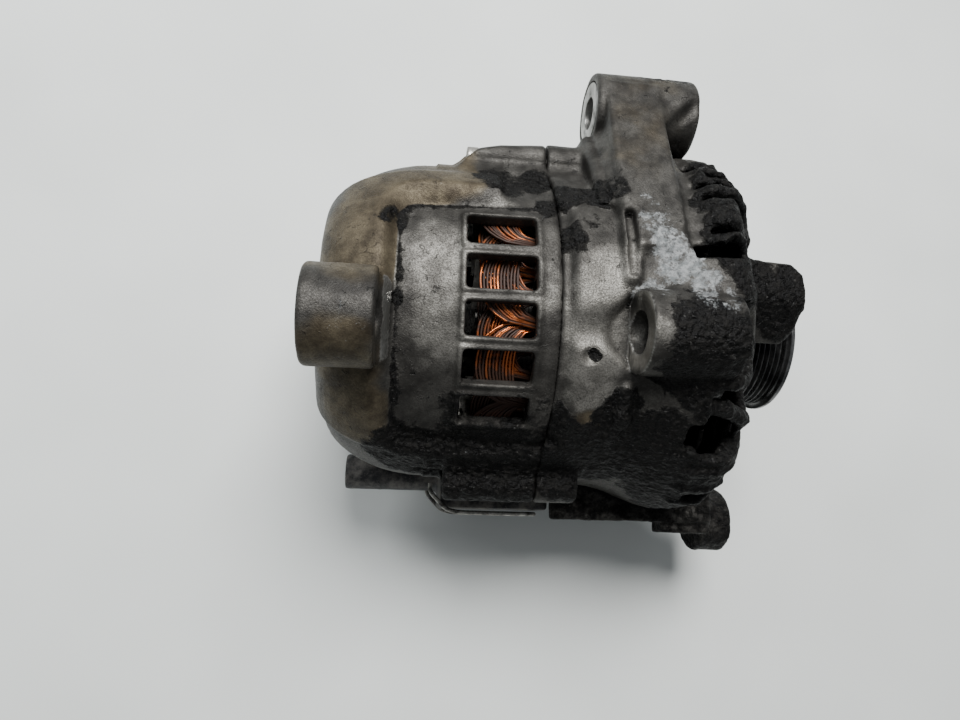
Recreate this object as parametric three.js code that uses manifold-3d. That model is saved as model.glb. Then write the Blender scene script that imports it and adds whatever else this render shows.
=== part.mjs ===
// A belt-driven car alternator lying on its side, as it rests on a bench.
// Millimetres, +Z up. +X runs along the rotor axis towards the pulley, and the pieces are placed about
// that axis with X = 0 on the joint between the two brackets. The last lines move the whole machine so
// that its own origin is the middle of its footprint.
import * as THREE from "three";
import { mergeVertices } from "three/addons/utils/BufferGeometryUtils.js";
import Module from "manifold-3d";

const wasm = await Module();
wasm.setup();

// ---------------------------------------------------------------- driving dimensions
const GAP = 0.3; // clearance between separate pieces
const SMOOTH = 36; // facets round a large turned piece
const SMALL = 14; // facets round a small one

const STACK = { from: -7, to: 27, outer: 58.6, inner: 47.5, slots: 36, slotDepth: 8, slotWidth: 3.4 };
const SEAT = STACK.outer + GAP; // bore of the brackets round the stator
const REAR_RIM = 64; // raised rim of the rear bracket
const RECESS = { from: -58, to: -1.5, low: -62, high: 29, deep: 60, shallow: 61.8 };
const FRONT_BODY = 65.4; // plain band of the front bracket
const BELL = 74; // widest ring of the front bracket

const WINDOW = { from: -32, to: -7.6, width: 11, pitch: 15.4, first: 16.6, count: 5 };
// The ears of the through bolts, by their angle round the rotor axis from straight up towards +Y. The
// second and third reach as low as the bell does, and the machine rests on all three.
const EARS = [
  { angle: 60, radial: 67.5 },
  { angle: 160, radial: 70.9 },
  { angle: 200, radial: 70.9 },
  { angle: -78, radial: 67.5 },
];
const EAR = { radius: 7.4, from: -35, to: 16, seat: -26, bolt: 2.6 };

// Slots between the fins of the bell, and the wide gap that one rib crosses.
const VENTS = { from: 56, width: 5.2, odd: [9.5, 39.5, 53.5, 270, 288], even: 72, pitch: 18, count: 10 };
const WIDE_VENT = { from: 52, low: -52, high: -30 };
// The part of the bell beside the pivot bolt's head leans further back than the rest.
const SLOPE = { low: -52, high: 26 };
// The line of the long bolt through the two near bosses, with its groove along the body.
const PIVOT = { y: -18.6, z: 66, hole: 5.4, groove: 6.6, headRoom: 12.4 };
const PIVOT_ANGLE = (Math.atan2(PIVOT.y, PIVOT.z) * 180) / Math.PI;
const MID_BOSS = { from: 25.4, to: 57.5, radius: 14.5 };
const REAR_BOSS = { from: -83.5, to: -58, radius: 16.4 };
const LUG = { y: 83, z: 34, from: 18.6, to: 60, radius: 15.5, bore: 12 };
const BUSH_HOLE = 6.3;
const FOOT_LUG = { y: -78, z: -34, from: 83, to: 97.5, radius: 13.5, hole: 5.4 };
const LUG_ANGLE = (Math.atan2(LUG.y, LUG.z) * 180) / Math.PI;
const FOOT_LUG_ANGLE = (Math.atan2(FOOT_LUG.y, FOOT_LUG.z) * 180) / Math.PI;
const SNOUT = { from: 66, to: 97, low: 35.6, high: 50, left: -13, right: 17, crease: 1 };

const SHAFT = { rear: 7.5, core: 9, front: 8.5, rings: 6 };
const FRONT_BEARING = { from: 64, to: 78, outer: 23.5, inner: 8.5 + GAP, raceIn: 12.6, raceOut: 19.4 };
const REAR_BEARING = { from: -50, to: -41, outer: 16, inner: 7.5 + GAP, raceIn: 10.2, raceOut: 13.4 };
const PULLEY = { from: 85.8, to: 103.6, crest: 28.4, root: 25.2, flange: 30.4, ribs: 6, bore: 8.5 + GAP };
const CLAW = { from: -15, to: 35, radius: 47, fingers: 6 };

// ---------------------------------------------------------------- shape helpers
const rad = (degrees) => (degrees * Math.PI) / 180;

/** The Y and Z of a point at an angle round the rotor axis, 0 straight up and 90 along +Y. */
const polar = (angle, radius) => [radius * Math.sin(rad(angle)), radius * Math.cos(rad(angle))];

/** A closed three.js geometry as a solid that faces outwards. */
function solid(geometry) {
  const bare = geometry.index ? geometry.toNonIndexed() : geometry.clone();
  bare.deleteAttribute("normal");
  bare.deleteAttribute("uv");
  const merged = mergeVertices(bare, 1e-4);
  const corners = merged.index.array;
  const triangles = [];
  for (let i = 0; i < corners.length; i += 3) {
    const [a, b, c] = corners.slice(i, i + 3);
    if (a !== b && b !== c && c !== a) triangles.push([a, b, c]);
  }
  const make = (list) =>
    new wasm.Manifold(
      new wasm.Mesh({
        numProp: 3,
        vertProperties: merged.attributes.position.array,
        triVerts: new Uint32Array(list.flat()),
      }),
    );
  const made = make(triangles);
  return made.volume() > 0 ? made : make(triangles.map(([a, b, c]) => [a, c, b]));
}

const join = (...pieces) => pieces.flat(Infinity).reduce((all, piece) => all.add(piece));
const cut = (body, ...tools) => tools.flat(Infinity).reduce((rest, tool) => rest.subtract(tool), body);

/** A body turned about the X axis from a profile of [x, radius] points. */
function turned(profile, facets = SMOOTH) {
  const points = profile.map(([x, radius]) => new THREE.Vector2(radius, x));
  const open = profile[0][1] > 0;
  if (open) points.push(points[0].clone());
  return solid(new THREE.LatheGeometry(points, facets).rotateZ(-Math.PI / 2));
}

/** A round tube or bar along X, centred on y, z. */
function bar(from, to, radius, y = 0, z = 0, facets = SMALL) {
  const shape = new THREE.CylinderGeometry(radius, radius, to - from, facets).rotateZ(-Math.PI / 2);
  return solid(shape.translate((from + to) / 2, y, z));
}

function block(x0, x1, y0, y1, z0, z1) {
  const shape = new THREE.BoxGeometry(x1 - x0, y1 - y0, z1 - z0);
  return solid(shape.translate((x0 + x1) / 2, (y0 + y1) / 2, (z0 + z1) / 2));
}

/** An outline in the Y-Z plane pushed out along X. */
function alongX(shape, from, to, curveSegments = 6) {
  const settings = { depth: to - from, bevelEnabled: false, curveSegments };
  const axes = new THREE.Matrix4().makeBasis(
    new THREE.Vector3(0, 1, 0),
    new THREE.Vector3(0, 0, 1),
    new THREE.Vector3(1, 0, 0),
  );
  return solid(new THREE.ExtrudeGeometry(shape, settings).applyMatrix4(axes).translate(from, 0, 0));
}

/** An outline in the X-Y plane pushed up along Z. */
function alongZ(points, from, to) {
  const shape = new THREE.Shape(points.map(([x, y]) => new THREE.Vector2(x, y)));
  const settings = { depth: to - from, bevelEnabled: false };
  return solid(new THREE.ExtrudeGeometry(shape, settings).translate(0, 0, from));
}

const outline = (points) => new THREE.Shape(points.map(([y, z]) => new THREE.Vector2(y, z)));

/** Part of a flat ring round the rotor axis, between two angles and two radii. */
function sector(start, end, inner, outer, step = 8) {
  const count = Math.max(1, Math.ceil((end - start) / step));
  const angles = Array.from({ length: count + 1 }, (_, i) => start + ((end - start) * i) / count);
  const out = angles.map((angle) => polar(angle, outer));
  const back = angles.reverse().map((angle) => polar(angle, inner));
  return outline([...out, ...back]);
}

/** A tab that grows out of the body at an angle and ends in a round head. */
function tab(angle, foot, footWidth, radial, radius) {
  const points = [[foot, -footWidth]];
  for (let turn = -90; turn <= 90; turn += 18) {
    points.push([radial + radius * Math.cos(rad(turn)), radius * Math.sin(rad(turn))]);
  }
  points.push([foot, footWidth]);
  const [sin, cos] = [Math.sin(rad(angle)), Math.cos(rad(angle))];
  return outline(points.map(([out, side]) => [out * sin + side * cos, out * cos - side * sin]));
}

/** A wire or spring: a small polygon swept along a curve. */
function wire(curve, radius, steps, sides = 6) {
  const round = Array.from({ length: sides }, (_, i) => rad((360 * i) / sides));
  const section = new THREE.Shape(
    round.map((a) => new THREE.Vector2(radius * Math.cos(a), radius * Math.sin(a))),
  );
  return solid(new THREE.ExtrudeGeometry(section, { steps, extrudePath: curve, bevelEnabled: false }));
}

/** A plate that stands on the body at an angle: an outline of [x, radius] points with a thickness. */
function fin(angle, points, thickness) {
  const shape = new THREE.Shape(points.map(([x, radius]) => new THREE.Vector2(x, radius)));
  const up = new THREE.Vector3(0, Math.sin(rad(angle)), Math.cos(rad(angle)));
  const along = new THREE.Vector3(1, 0, 0);
  const axes = new THREE.Matrix4().makeBasis(along, up, along.clone().cross(up));
  const plate = new THREE.ExtrudeGeometry(shape, { depth: thickness, bevelEnabled: false });
  return solid(plate.translate(0, 0, -thickness / 2).applyMatrix4(axes));
}

const spread = (count, make, start = 0) =>
  Array.from({ length: count }, (_, i) => make(start + (360 * i) / count, i));

// ---------------------------------------------------------------- materials
const finish = (color, roughness, metalness) =>
  new THREE.MeshStandardMaterial({ color, roughness, metalness });

const castAluminium = finish(0x6f6d66, 0.62, 0.55);
const grimyAluminium = finish(0x3a3a37, 0.8, 0.35);
const machinedSteel = finish(0xb9bab6, 0.28, 0.95);
const darkSteel = finish(0x35363a, 0.42, 0.85);
const zincSteel = finish(0x9a9a92, 0.4, 0.85);
const laminatedSteel = finish(0x4a4845, 0.6, 0.7);
const copper = finish(0xb4622e, 0.35, 0.9);
const blackPlastic = finish(0x17181a, 0.55, 0);
const greyPlastic = finish(0x4d4c49, 0.7, 0);
const carbon = finish(0x26262a, 0.6, 0.1);
const brightAluminium = finish(0xa9aaa8, 0.42, 0.85);

const alternator = new THREE.Group();

function add(name, body, material) {
  const { vertProperties, triVerts } = body.getMesh();
  const geometry = new THREE.BufferGeometry();
  geometry.setAttribute("position", new THREE.BufferAttribute(vertProperties, 3));
  geometry.setIndex(new THREE.BufferAttribute(triVerts, 1));
  geometry.computeVertexNormals();
  const mesh = new THREE.Mesh(geometry, material);
  mesh.name = name;
  alternator.add(mesh);
}

// ---------------------------------------------------------------- rear bracket
const POST_ANGLES = [90, 225, 315]; // screw posts for the rear cover
const POST = { radial: 33, radius: 3.9, end: -73.7 };
const postPlaces = (make) => POST_ANGLES.map((angle) => make(...polar(angle, POST.radial)));

function rearBracket() {
  const shell = turned([
    [-GAP / 2, SEAT],
    [-GAP / 2, REAR_RIM],
    [-42, 63.6],
    [-50, 62.7],
    [-58, 61],
    [-65, 58.2],
    [-72, 54.2],
    [-78, 48.8],
    [-81.4, 43],
    [-81.4, 40],
    [-78, 40],
    [-74.6, 47.4],
    [-67, 54],
    [-57, 57.6],
    [-42, SEAT],
    [-42, 20],
    [-51.4, 20],
    [-51.4, 12.6],
    [-50.3, 12.6],
    [-50.3, REAR_BEARING.outer + GAP],
    [-38, REAR_BEARING.outer + GAP],
    [-38, SEAT],
  ]);
  const ears = EARS.map(({ angle, radial }) =>
    alongX(tab(angle, 60.2, 14, radial, EAR.radius), EAR.from, -GAP / 2),
  );
  ears[0] = cut(ears[0], turned([[-36, 64], [-32, 67.8], [-27, 71.6], [-18, 73.4], [-18, 85], [-36, 85]]));
  const posts = postPlaces((y, z) => bar(POST.end, -41, POST.radius, y, z, 12));
  const { from, to, low, high, deep, shallow } = RECESS;
  const aboveFloor = turned([[from - 1, deep], [from - 1, 95], [to + 1, 95], [to + 1, shallow]]);
  const recess = alongX(sector(low, high, 50, 90, 10), from, to).intersect(aboveFloor);
  const boss = bar(REAR_BOSS.from, REAR_BOSS.to, REAR_BOSS.radius, PIVOT.y, PIVOT.z, 24);
  const web = fin(PIVOT_ANGLE, [[-81, 70], [-81, 43], [-60, 56], [-60, 70]], 16);
  const inside = turned([
    [-83, 0],
    [-83, 40],
    [-78, 40],
    [-74.6, 47.4],
    [-67, 54],
    [-57, 57.6],
    [-44, 58],
    [-44, 0],
  ]);
  const body = join(shell, cut(join(boss, web), inside), ears);
  return cut(join(cut(body, recess), posts), [
    windows(WINDOW.first, WINDOW.count),
    windows(130, 4),
    windows(180, 1),
    windows(-112, 2),
    spread(8, (angle) => alongX(sector(angle - 15, angle + 15, 24, 50), -46, -36), 22.5),
    bar(-90, -50, PIVOT.hole, PIVOT.y, PIVOT.z),
    bar(-6, 2, PIVOT.groove, PIVOT.y, PIVOT.z, 18),
    EARS.map(({ angle, radial }) => [
      bar(-40, 5, EAR.bolt + GAP, ...polar(angle, radial), 12),
      bar(-46, EAR.seat, EAR.bolt * 1.65 + 2 * GAP, ...polar(angle, radial), 16),
    ]),
    postPlaces((y, z) => bar(-80, -66, 2 + GAP, y, z, 12)),
    block(-6.5, -1.5, 41, 47.4, 50, 60),
  ]);
}

/** A row of air windows through the rear bracket, spaced round the axis. */
function windows(first, count) {
  return Array.from({ length: count }, (_, i) => {
    const middle = first - i * WINDOW.pitch;
    const half = WINDOW.width / 2;
    return alongX(sector(middle - half, middle + half, 50, 80, 20), WINDOW.from, WINDOW.to);
  });
}

// ---------------------------------------------------------------- front bracket
function frontBracket() {
  const shell = turned([
    [GAP / 2, SEAT],
    [GAP / 2, FRONT_BODY],
    [22.5, FRONT_BODY],
    [23.5, FRONT_BODY + 1.4],
    [25.5, FRONT_BODY],
    [40, 70],
    [53, BELL],
    [65, BELL - 0.4],
    [70, 68.6],
    [75.4, 59.6],
    [79, 50],
    [80, 42],
    [80, 34],
    [77, 34],
    [74, 47],
    [67, 59.4],
    [60.6, 69.3],
    [54, 69.6],
    [36, 63],
    [STACK.to + GAP, SEAT],
  ]);
  const hub = turned([
    [62, FRONT_BEARING.outer + GAP],
    [62, 29.5],
    [83, 29.5],
    [83, 16],
    [78.4, 16],
    [78.4, FRONT_BEARING.outer + GAP],
  ], 40);
  const spoke = [[68, 27], [63, 66], [74, 58], [79.4, 46], [82, 27]];
  const spokes = spread(5, (angle) => fin(angle, spoke, 9), 36);
  const ears = EARS.map(({ angle, radial }) =>
    alongX(tab(angle, 60.2, 12, radial, EAR.radius), GAP / 2, EAR.to),
  );
  const ventOutline = [[VENTS.from, 41], [VENTS.from, 90], [99, 90], [99, 41]];
  const evenVents = Array.from({ length: VENTS.count }, (_, i) => VENTS.even + i * VENTS.pitch);
  const vents = [...VENTS.odd, ...evenVents].map((angle) => fin(angle, ventOutline, VENTS.width));
  const wideVent = alongX(sector(WIDE_VENT.low, WIDE_VENT.high, 44, 90), WIDE_VENT.from, 99);
  const flatFront = alongX(sector(-8, 70, 33, 90), 77.4, 99);
  const slope = turned([[60, 77], [66.4, 66.4], [70, 60], [75, 50], [79, 42], [99, 42], [99, 90], [60, 90]]);
  const leaning = slope.intersect(alongX(sector(SLOPE.low, SLOPE.high, 30, 95), 50, 99));
  const rib = [[44, 67], [44, 71.4], [58, 73], [66.4, 66], [70, 60], [79, 42], [76, 40], [67, 59.4], [58, 68]];
  const crossing = fin(-44, rib, 5);
  const openings = [vents, wideVent, flatFront, leaning];
  const cleared = join(cut(join(shell, hub, spokes), openings), crossing);
  const hollow = [[-5, 0], [-5, SEAT], [STACK.to, SEAT], [36, 63], [54, 69.6], [64, 69], [64, 0]];
  const inside = turned(hollow);
  const lugs = cut(join(midBoss(), upperLug(), lowerFlange(), ears), inside);
  const socket = bar(MID_BOSS.to, 110, PIVOT.headRoom, PIVOT.y, PIVOT.z, 20);
  return cut(join(cut(join(cleared, bossFloor()), socket), lugs, footLug(), snout()), [
    bar(MID_BOSS.from - 1, MID_BOSS.to + 1, PIVOT.hole, PIVOT.y, PIVOT.z),
    bar(-2, MID_BOSS.from, PIVOT.groove, PIVOT.y, PIVOT.z, 18),
    bar(LUG.from - 1, LUG.from + 20, LUG.bore + GAP, LUG.y, LUG.z, 28),
    bar(LUG.from + 10, LUG.to + 1, BUSH_HOLE, LUG.y, LUG.z),
    bar(FOOT_LUG.from - 1, FOOT_LUG.to + 1, FOOT_LUG.hole, FOOT_LUG.y, FOOT_LUG.z),
    EARS.map(({ angle, radial }) => bar(-1, 14, EAR.bolt + GAP, ...polar(angle, radial), 12)),
    retainerScrews((y, z) => bar(61, 68, 1.9 + GAP, y, z, 10)),
    bar(SNOUT.to - 12, SNOUT.to + 1, 3.4, 5, 41, 12),
  ]);
}

/** The near boss of the long pivot bolt, with the web under it. */
function midBoss() {
  const { from, to, radius } = MID_BOSS;
  const web = fin(PIVOT_ANGLE, [[from, 60], [from, 68], [to, 68], [to, 60]], 25);
  return join(bar(from, to, radius, PIVOT.y, PIVOT.z, 24), web);
}

/** The solid metal below the room that the pivot bolt's head needs. */
function bossFloor() {
  return fin(PIVOT_ANGLE, [[52, 51], [52, 68], [64, 67], [70, 58], [75, 49], [71, 47]], 34);
}

/** The long lug with a pressed bush, and the neck that carries it. */
function upperLug() {
  const { from, to, radius, y, z } = LUG;
  const reach = Math.hypot(y, z);
  const shoulder = [[14, 60], [17, 73], [to - 12, 76], [to - 8, 60]];
  const neck = [
    [13, 60],
    [16, 72],
    [from + 1, reach - 8],
    [from + 1, reach + 4],
    [to - 18, reach + 4],
    [to - 15, reach - 10],
    [to - 11, 74],
    [to, 60],
  ];
  const tube = bar(from, to, radius, y, z, 24);
  return join(tube, fin(LUG_ANGLE, neck, 24), fin(LUG_ANGLE - 18, shoulder, 32));
}

/** The long thin flange along the underside edge, with the pad at its pulley end. */
function lowerFlange() {
  return join(block(13, 84, -79.5, -50, -17, -12), block(62, 84, -84, -50, -26, -14));
}

/** The lower mounting lug at the pulley end. */
function footLug() {
  const { from, to, radius, y, z } = FOOT_LUG;
  const reach = Math.hypot(y, z);
  const web = [
    [44, 62],
    [62, reach - 12],
    [from - 1, reach - 6.5],
    [from + 1, reach],
    [to - 4, reach],
    [to - 14, 66],
    [72, 58],
  ];
  return join(bar(from, to, radius, y, z, 24), fin(FOOT_LUG_ANGLE, web, 20));
}

/** The stub that reaches forward over the pulley. */
function snout() {
  const { from, to, low, high, left, right, crease } = SNOUT;
  const plan = [
    [from, left],
    [to - 5, left],
    [to - 1, left + 5],
    [to, left + 11],
    [to, right - 6],
    [to - 3, right - 2],
    [to - 9, right],
    [from, right + 1],
  ];
  const section = [[left, low], [right + 1, low], [right + 1, high], [crease, high], [left, high - 12]];
  return alongZ(plan, low, high).intersect(alongX(outline(section), from, to + 1));
}

// ---------------------------------------------------------------- stator
function statorCore() {
  const ring = turned([
    [STACK.from, STACK.inner],
    [STACK.from, STACK.outer],
    [STACK.to, STACK.outer],
    [STACK.to, STACK.inner],
  ], 36);
  const slot = (angle) => {
    const half = ((STACK.slotWidth / STACK.inner) * 90) / Math.PI;
    const reach = STACK.inner + STACK.slotDepth;
    return alongX(sector(angle - half, angle + half, 40, reach), STACK.from - 1, STACK.to + 1);
  };
  return cut(ring, spread(STACK.slots, slot));
}

/** A rounded ring of wire turns beyond one end of the stack. */
function endWinding(from, to) {
  const [low, high] = [Math.min(from, to), Math.max(from, to)];
  const lean = (high - low) * 0.2;
  return turned([
    [low, 50],
    [low, 54.6],
    [low + lean, 56.8],
    [high - lean, 56.8],
    [high, 54.6],
    [high, 50],
    [high - lean, 48.6],
    [low + lean, 48.6],
  ], 28);
}

// ---------------------------------------------------------------- rotor
function shaft() {
  return turned([
    [-70, 0],
    [-70, SHAFT.rings - 0.6],
    [-69.4, SHAFT.rings],
    [-52, SHAFT.rings],
    [-52, SHAFT.rear],
    [-38, SHAFT.rear],
    [-38, SHAFT.core],
    [58, SHAFT.core],
    [58, SHAFT.front],
    [98, SHAFT.front],
    [98, 7],
    [105.4, 7],
    [106.4, 6],
    [106.4, 0],
  ], 16);
}

/** Half of the claw-pole rotor: a disc whose fingers reach over the field coil. */
function clawPole(discFrom, discTo, fingerTo, start) {
  const disc = turned([
    [discFrom, SHAFT.core + GAP],
    [discFrom, 38],
    [discTo, 38],
    [discTo, SHAFT.core + GAP],
  ], 24);
  const [outFrom, outTo] = [Math.min(discFrom, discTo), Math.max(discFrom, discTo)];
  const fingers = spread(
    CLAW.fingers,
    (angle) => {
      const root = alongX(sector(angle - 12, angle + 12, 34, CLAW.radius, 12), outFrom, outTo);
      const [from, to] = [Math.min(discTo, fingerTo), Math.max(discTo, fingerTo)];
      const finger = alongX(sector(angle - 9, angle + 9, 39.4, CLAW.radius, 9), from - 1, to);
      return join(root, finger);
    },
    start,
  );
  return join(disc, fingers);
}

/** A pressed fan: a disc on the rotor's end with bent-up blades. */
function fan(face, back, tip) {
  const [from, to] = [Math.min(face, back), Math.max(face, back)];
  const disc = turned([
    [from, SHAFT.core + GAP],
    [from, 36],
    [to, 36],
    [to, SHAFT.core + GAP],
  ], 24);
  const [low, high] = [Math.min(face, tip), Math.max(face, tip)];
  const blade = (angle) => {
    const [y0, z0] = polar(angle, 27);
    const [y1, z1] = polar(angle + 22, 45.5);
    const [y2, z2] = polar(angle + 20, 45.5);
    const [y3, z3] = polar(angle - 3.4, 27);
    return alongX(outline([[y0, z0], [y1, z1], [y2, z2], [y3, z3]]), low, high);
  };
  return join(disc, spread(11, blade));
}

function ring(from, to, inner, outer, facets = 20) {
  return turned([
    [from, inner],
    [from, outer],
    [to, outer],
    [to, inner],
  ], facets);
}

function bearingRaces(name, bearing) {
  add(`${name}_outer_race`, ring(bearing.from, bearing.to, bearing.raceOut, bearing.outer), machinedSteel);
  add(`${name}_inner_race`, ring(bearing.from, bearing.to, bearing.inner, bearing.raceIn), machinedSteel);
}

/** A pulley for a belt with V ribs, with a pocket in its nose for the nut. */
function pulley() {
  const { from, to, crest, root, flange, ribs, bore } = PULLEY;
  const first = from + 2;
  const pitch = (to - 2.2 - first) / ribs;
  const profile = [
    [from, bore],
    [from, 27.4],
    [from + 0.6, flange - 0.6],
    [first - 0.4, flange - 0.6],
  ];
  for (let i = 0; i < ribs; i += 1) {
    const x = first + i * pitch;
    profile.push([x, crest]);
    profile.push([x + pitch * 0.42, root]);
    profile.push([x + pitch * 0.58, root]);
  }
  profile.push([to - 2.2, crest], [to - 1.8, flange], [to, flange], [to, 24], [98, 22], [98, bore]);
  return turned(profile, 24);
}

function hexNut(from, to, across, bore) {
  const corner = across / Math.sqrt(3);
  const points = Array.from({ length: 6 }, (_, i) => polar(-i * 60, corner));
  return cut(alongX(outline(points), from, to), bar(from - 1, to + 1, bore, 0, 0, 24));
}

// ---------------------------------------------------------------- fasteners
/** A socket-head screw along X whose head is at the low end. */
function capScrew(y, z, headFrom, shankTo, radius, facets = 12) {
  const headLength = radius * 1.8;
  const head = bar(headFrom, headFrom + headLength, radius * 1.65, y, z, facets + 4);
  const shank = bar(headFrom + 0.2, shankTo, radius, y, z, facets);
  const socket = bar(headFrom - 1, headFrom + headLength * 0.6, radius * 0.9, y, z, 6);
  return cut(join(head, shank), socket);
}

/** The three places round the front bearing where the retainer screws go. */
function retainerScrews(make) {
  return spread(3, (angle) => make(...polar(angle, 26.6)), 40);
}

// ---------------------------------------------------------------- rear end: rectifier, regulator, brushes
const PLATE_ARC = { from: -120, to: 140 };
const OUTPUT = { y: -2, z: 31, hole: 3.3, radius: 3, tip: -83.2 }; // stud, through the plate and the cover

function coolingPlate(from, to, inner, outer) {
  const plate = alongX(sector(PLATE_ARC.from, PLATE_ARC.to, inner, outer, 9), from, to);
  const clear = postPlaces((y, z) => bar(from - 1, to + 1, POST.radius + 0.8, y, z, 12));
  return cut(plate, clear);
}

const DIODE_ANGLES = [-95, -65, 40];

/** A press-fit diode: a knurled can with its lead. */
function diode(from, to, angle, radial) {
  const [y, z] = polar(angle, radial);
  const can = bar(Math.min(from, to), Math.max(from, to), 5.4, y, z, 14);
  const step = to > from ? 4 : -4;
  const lead = bar(Math.min(to, to + step), Math.max(to, to + step), 0.8, y, z, 6);
  return join(can, lead);
}

// The brushes run along Z, below the slip rings.
const BRUSH = { xs: [-64.4, -57], halfX: 2.3, halfY: 3.2, top: -9.9, bottom: -25 };
const HOLDER = { from: -70, to: -52.4, halfY: 8, top: -12.4, bottom: -37 };
const SPRING_TOP = BRUSH.bottom - GAP;
const SPRING_BOTTOM = HOLDER.bottom + 2.4;

function brushHolder() {
  const body = block(HOLDER.from, HOLDER.to, -HOLDER.halfY, HOLDER.halfY, HOLDER.bottom, HOLDER.top);
  const chambers = BRUSH.xs.map((x) =>
    block(
      x - BRUSH.halfX - GAP,
      x + BRUSH.halfX + GAP,
      -BRUSH.halfY - GAP,
      BRUSH.halfY + GAP,
      HOLDER.bottom + 2,
      HOLDER.top + 1,
    ),
  );
  return cut(body, chambers);
}

class SpringCurve extends THREE.Curve {
  constructor(x, low, high, radius, turns) {
    super();
    Object.assign(this, { x, low, high, radius, turns });
  }

  getPoint(t) {
    const angle = t * this.turns * 2 * Math.PI;
    const z = this.low + (this.high - this.low) * t;
    return new THREE.Vector3(
      this.x + this.radius * Math.cos(angle),
      this.radius * Math.sin(angle),
      z,
    );
  }
}

// ---------------------------------------------------------------- connector on the lower side
const SOCKET = { from: -75, to: -33, y: -60.6, z: -38.6, radius: 7.6, bore: 6 };
const HOUSING = { from: -34, to: 12, low: -76, z0: -46, z1: -14 };
const BAIL = { radius: 0.9, pivot: 6, out: -77.6, tip: -38, z0: -47.4, z1: -12.6 };

function connectorHousing() {
  const body = cut(
    block(HOUSING.from, HOUSING.to, HOUSING.low, -46, HOUSING.z0, HOUSING.z1),
    bar(-50, 20, FRONT_BODY + GAP, 0, 0, SMOOTH),
  );
  const tube = bar(SOCKET.from, SOCKET.to, SOCKET.radius, SOCKET.y, SOCKET.z, 28);
  const hollow = bar(SOCKET.from - 1, SOCKET.to - 8, SOCKET.bore, SOCKET.y, SOCKET.z, 24);
  const slot = block(-2, 8, HOUSING.low - 1, HOUSING.low + 2.4, -30, -26.6);
  const pinHoles = pinPlaces((y, z) => bar(-50, -36, 0.9 + GAP, y, z, 8));
  return cut(join(body, tube), hollow, slot, pinHoles, earClear());
}

/** Room round the two ears beside the housing, and the heads of their bolts. */
const earClear = () =>
  EARS.slice(2).map(({ angle, radial }) =>
    alongX(tab(angle, 40, 16, radial, EAR.radius + 2 * GAP), EAR.from - 12, EAR.to + 2),
  );

function pinPlaces(make) {
  return [-3, 3].flatMap((y) => [-3, 3].map((z) => make(SOCKET.y + y, SOCKET.z + z)));
}

/** The wire bail that locks the plug: a bow along the housing whose two arms hook round its end. */
function bailWire() {
  const { pivot, out, tip, z0, z1 } = BAIL;
  const arm = (z) => [
    [tip, out + 11.6, z],
    [tip, out + 8.6, z],
    [tip + 3, out + 5, z],
    [tip + 9, out + 0.6, z],
    [-14, out, z],
    [pivot - 3, out, z],
    [pivot, out, z + Math.sign(z0 + z1 - 2 * z) * 3],
  ];
  const points = [...arm(z1), ...arm(z0).reverse()].map((p) => new THREE.Vector3(...p));
  return wire(new THREE.CatmullRomCurve3(points, false, "catmullrom", 0.3), BAIL.radius, 36, 5);
}

// ---------------------------------------------------------------- assembly
add("rear_bracket", rearBracket(), castAluminium);
add("front_bracket", frontBracket(), grimyAluminium);

add("stator_core", statorCore(), laminatedSteel);
add("rear_winding", endWinding(STACK.from - GAP, -29), copper);
add("front_winding", endWinding(STACK.to + GAP, 47), copper);

add("rotor_shaft", shaft(), machinedSteel);
add("rear_claw_pole", clawPole(CLAW.from, CLAW.from + 11, CLAW.to - 4, 0), laminatedSteel);
add("front_claw_pole", clawPole(CLAW.to, CLAW.to - 11, CLAW.from + 4, 30), laminatedSteel);
add("field_coil", ring(CLAW.from + 11.3, CLAW.to - 11.3, SHAFT.core + GAP, 38.6), copper);
add("front_fan", fan(CLAW.to + GAP, CLAW.to + 2, 47), zincSteel);
add("rear_fan", fan(CLAW.from - GAP, CLAW.from - 2, -27), zincSteel);
add("slip_ring_sleeve", turned([
  [-68.6, SHAFT.rings + GAP],
  [-68.6, 9],
  [-67.3, 9],
  [-67.3, 7.6],
  [-61.4, 7.6],
  [-61.4, 9],
  [-60.1, 9],
  [-60.1, 7.6],
  [-53.9, 7.6],
  [-53.9, 9],
  [-52.6, 9],
  [-52.6, SHAFT.rings + GAP],
], 14), blackPlastic);
add("outer_slip_ring", ring(-67, -61.7, 7.6 + GAP, 9.5), copper);
add("inner_slip_ring", ring(-59.8, -54.2, 7.6 + GAP, 9.5), copper);
bearingRaces("front_bearing", FRONT_BEARING);
bearingRaces("rear_bearing", REAR_BEARING);
add("shaft_collar", ring(FRONT_BEARING.to + GAP, PULLEY.from - GAP, SHAFT.front + GAP, 13), zincSteel);
add("pulley", pulley(), darkSteel);
add("pulley_nut", hexNut(98.3, 104.6, 24, 7 + GAP), zincSteel);

const retainer = cut(
  ring(59.6, 61.7, 18, 30.5),
  retainerScrews((y, z) => bar(59, 63, 1.9 + GAP, y, z, 10)),
);
add("bearing_retainer", retainer, zincSteel);
retainerScrews((y, z) => [y, z]).forEach(([y, z], i) => {
  const head = bar(57.4, 59.3, 3.4, y, z, 10);
  add(`retainer_screw_${i + 1}`, join(head, bar(57.6, 67.6, 1.9, y, z, 10)), zincSteel);
});

const bush = ring(LUG.from, LUG.from + 19.6, BUSH_HOLE, LUG.bore, 28);
add("upper_lug_bush", bush.translate([0, LUG.y, LUG.z]), machinedSteel);

EARS.forEach(({ angle, radial }, i) => {
  const [y, z] = polar(angle, radial);
  add(`through_bolt_${i + 1}`, capScrew(y, z, EAR.seat - GAP - EAR.bolt * 1.8, 13.6, EAR.bolt), zincSteel);
});

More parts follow.
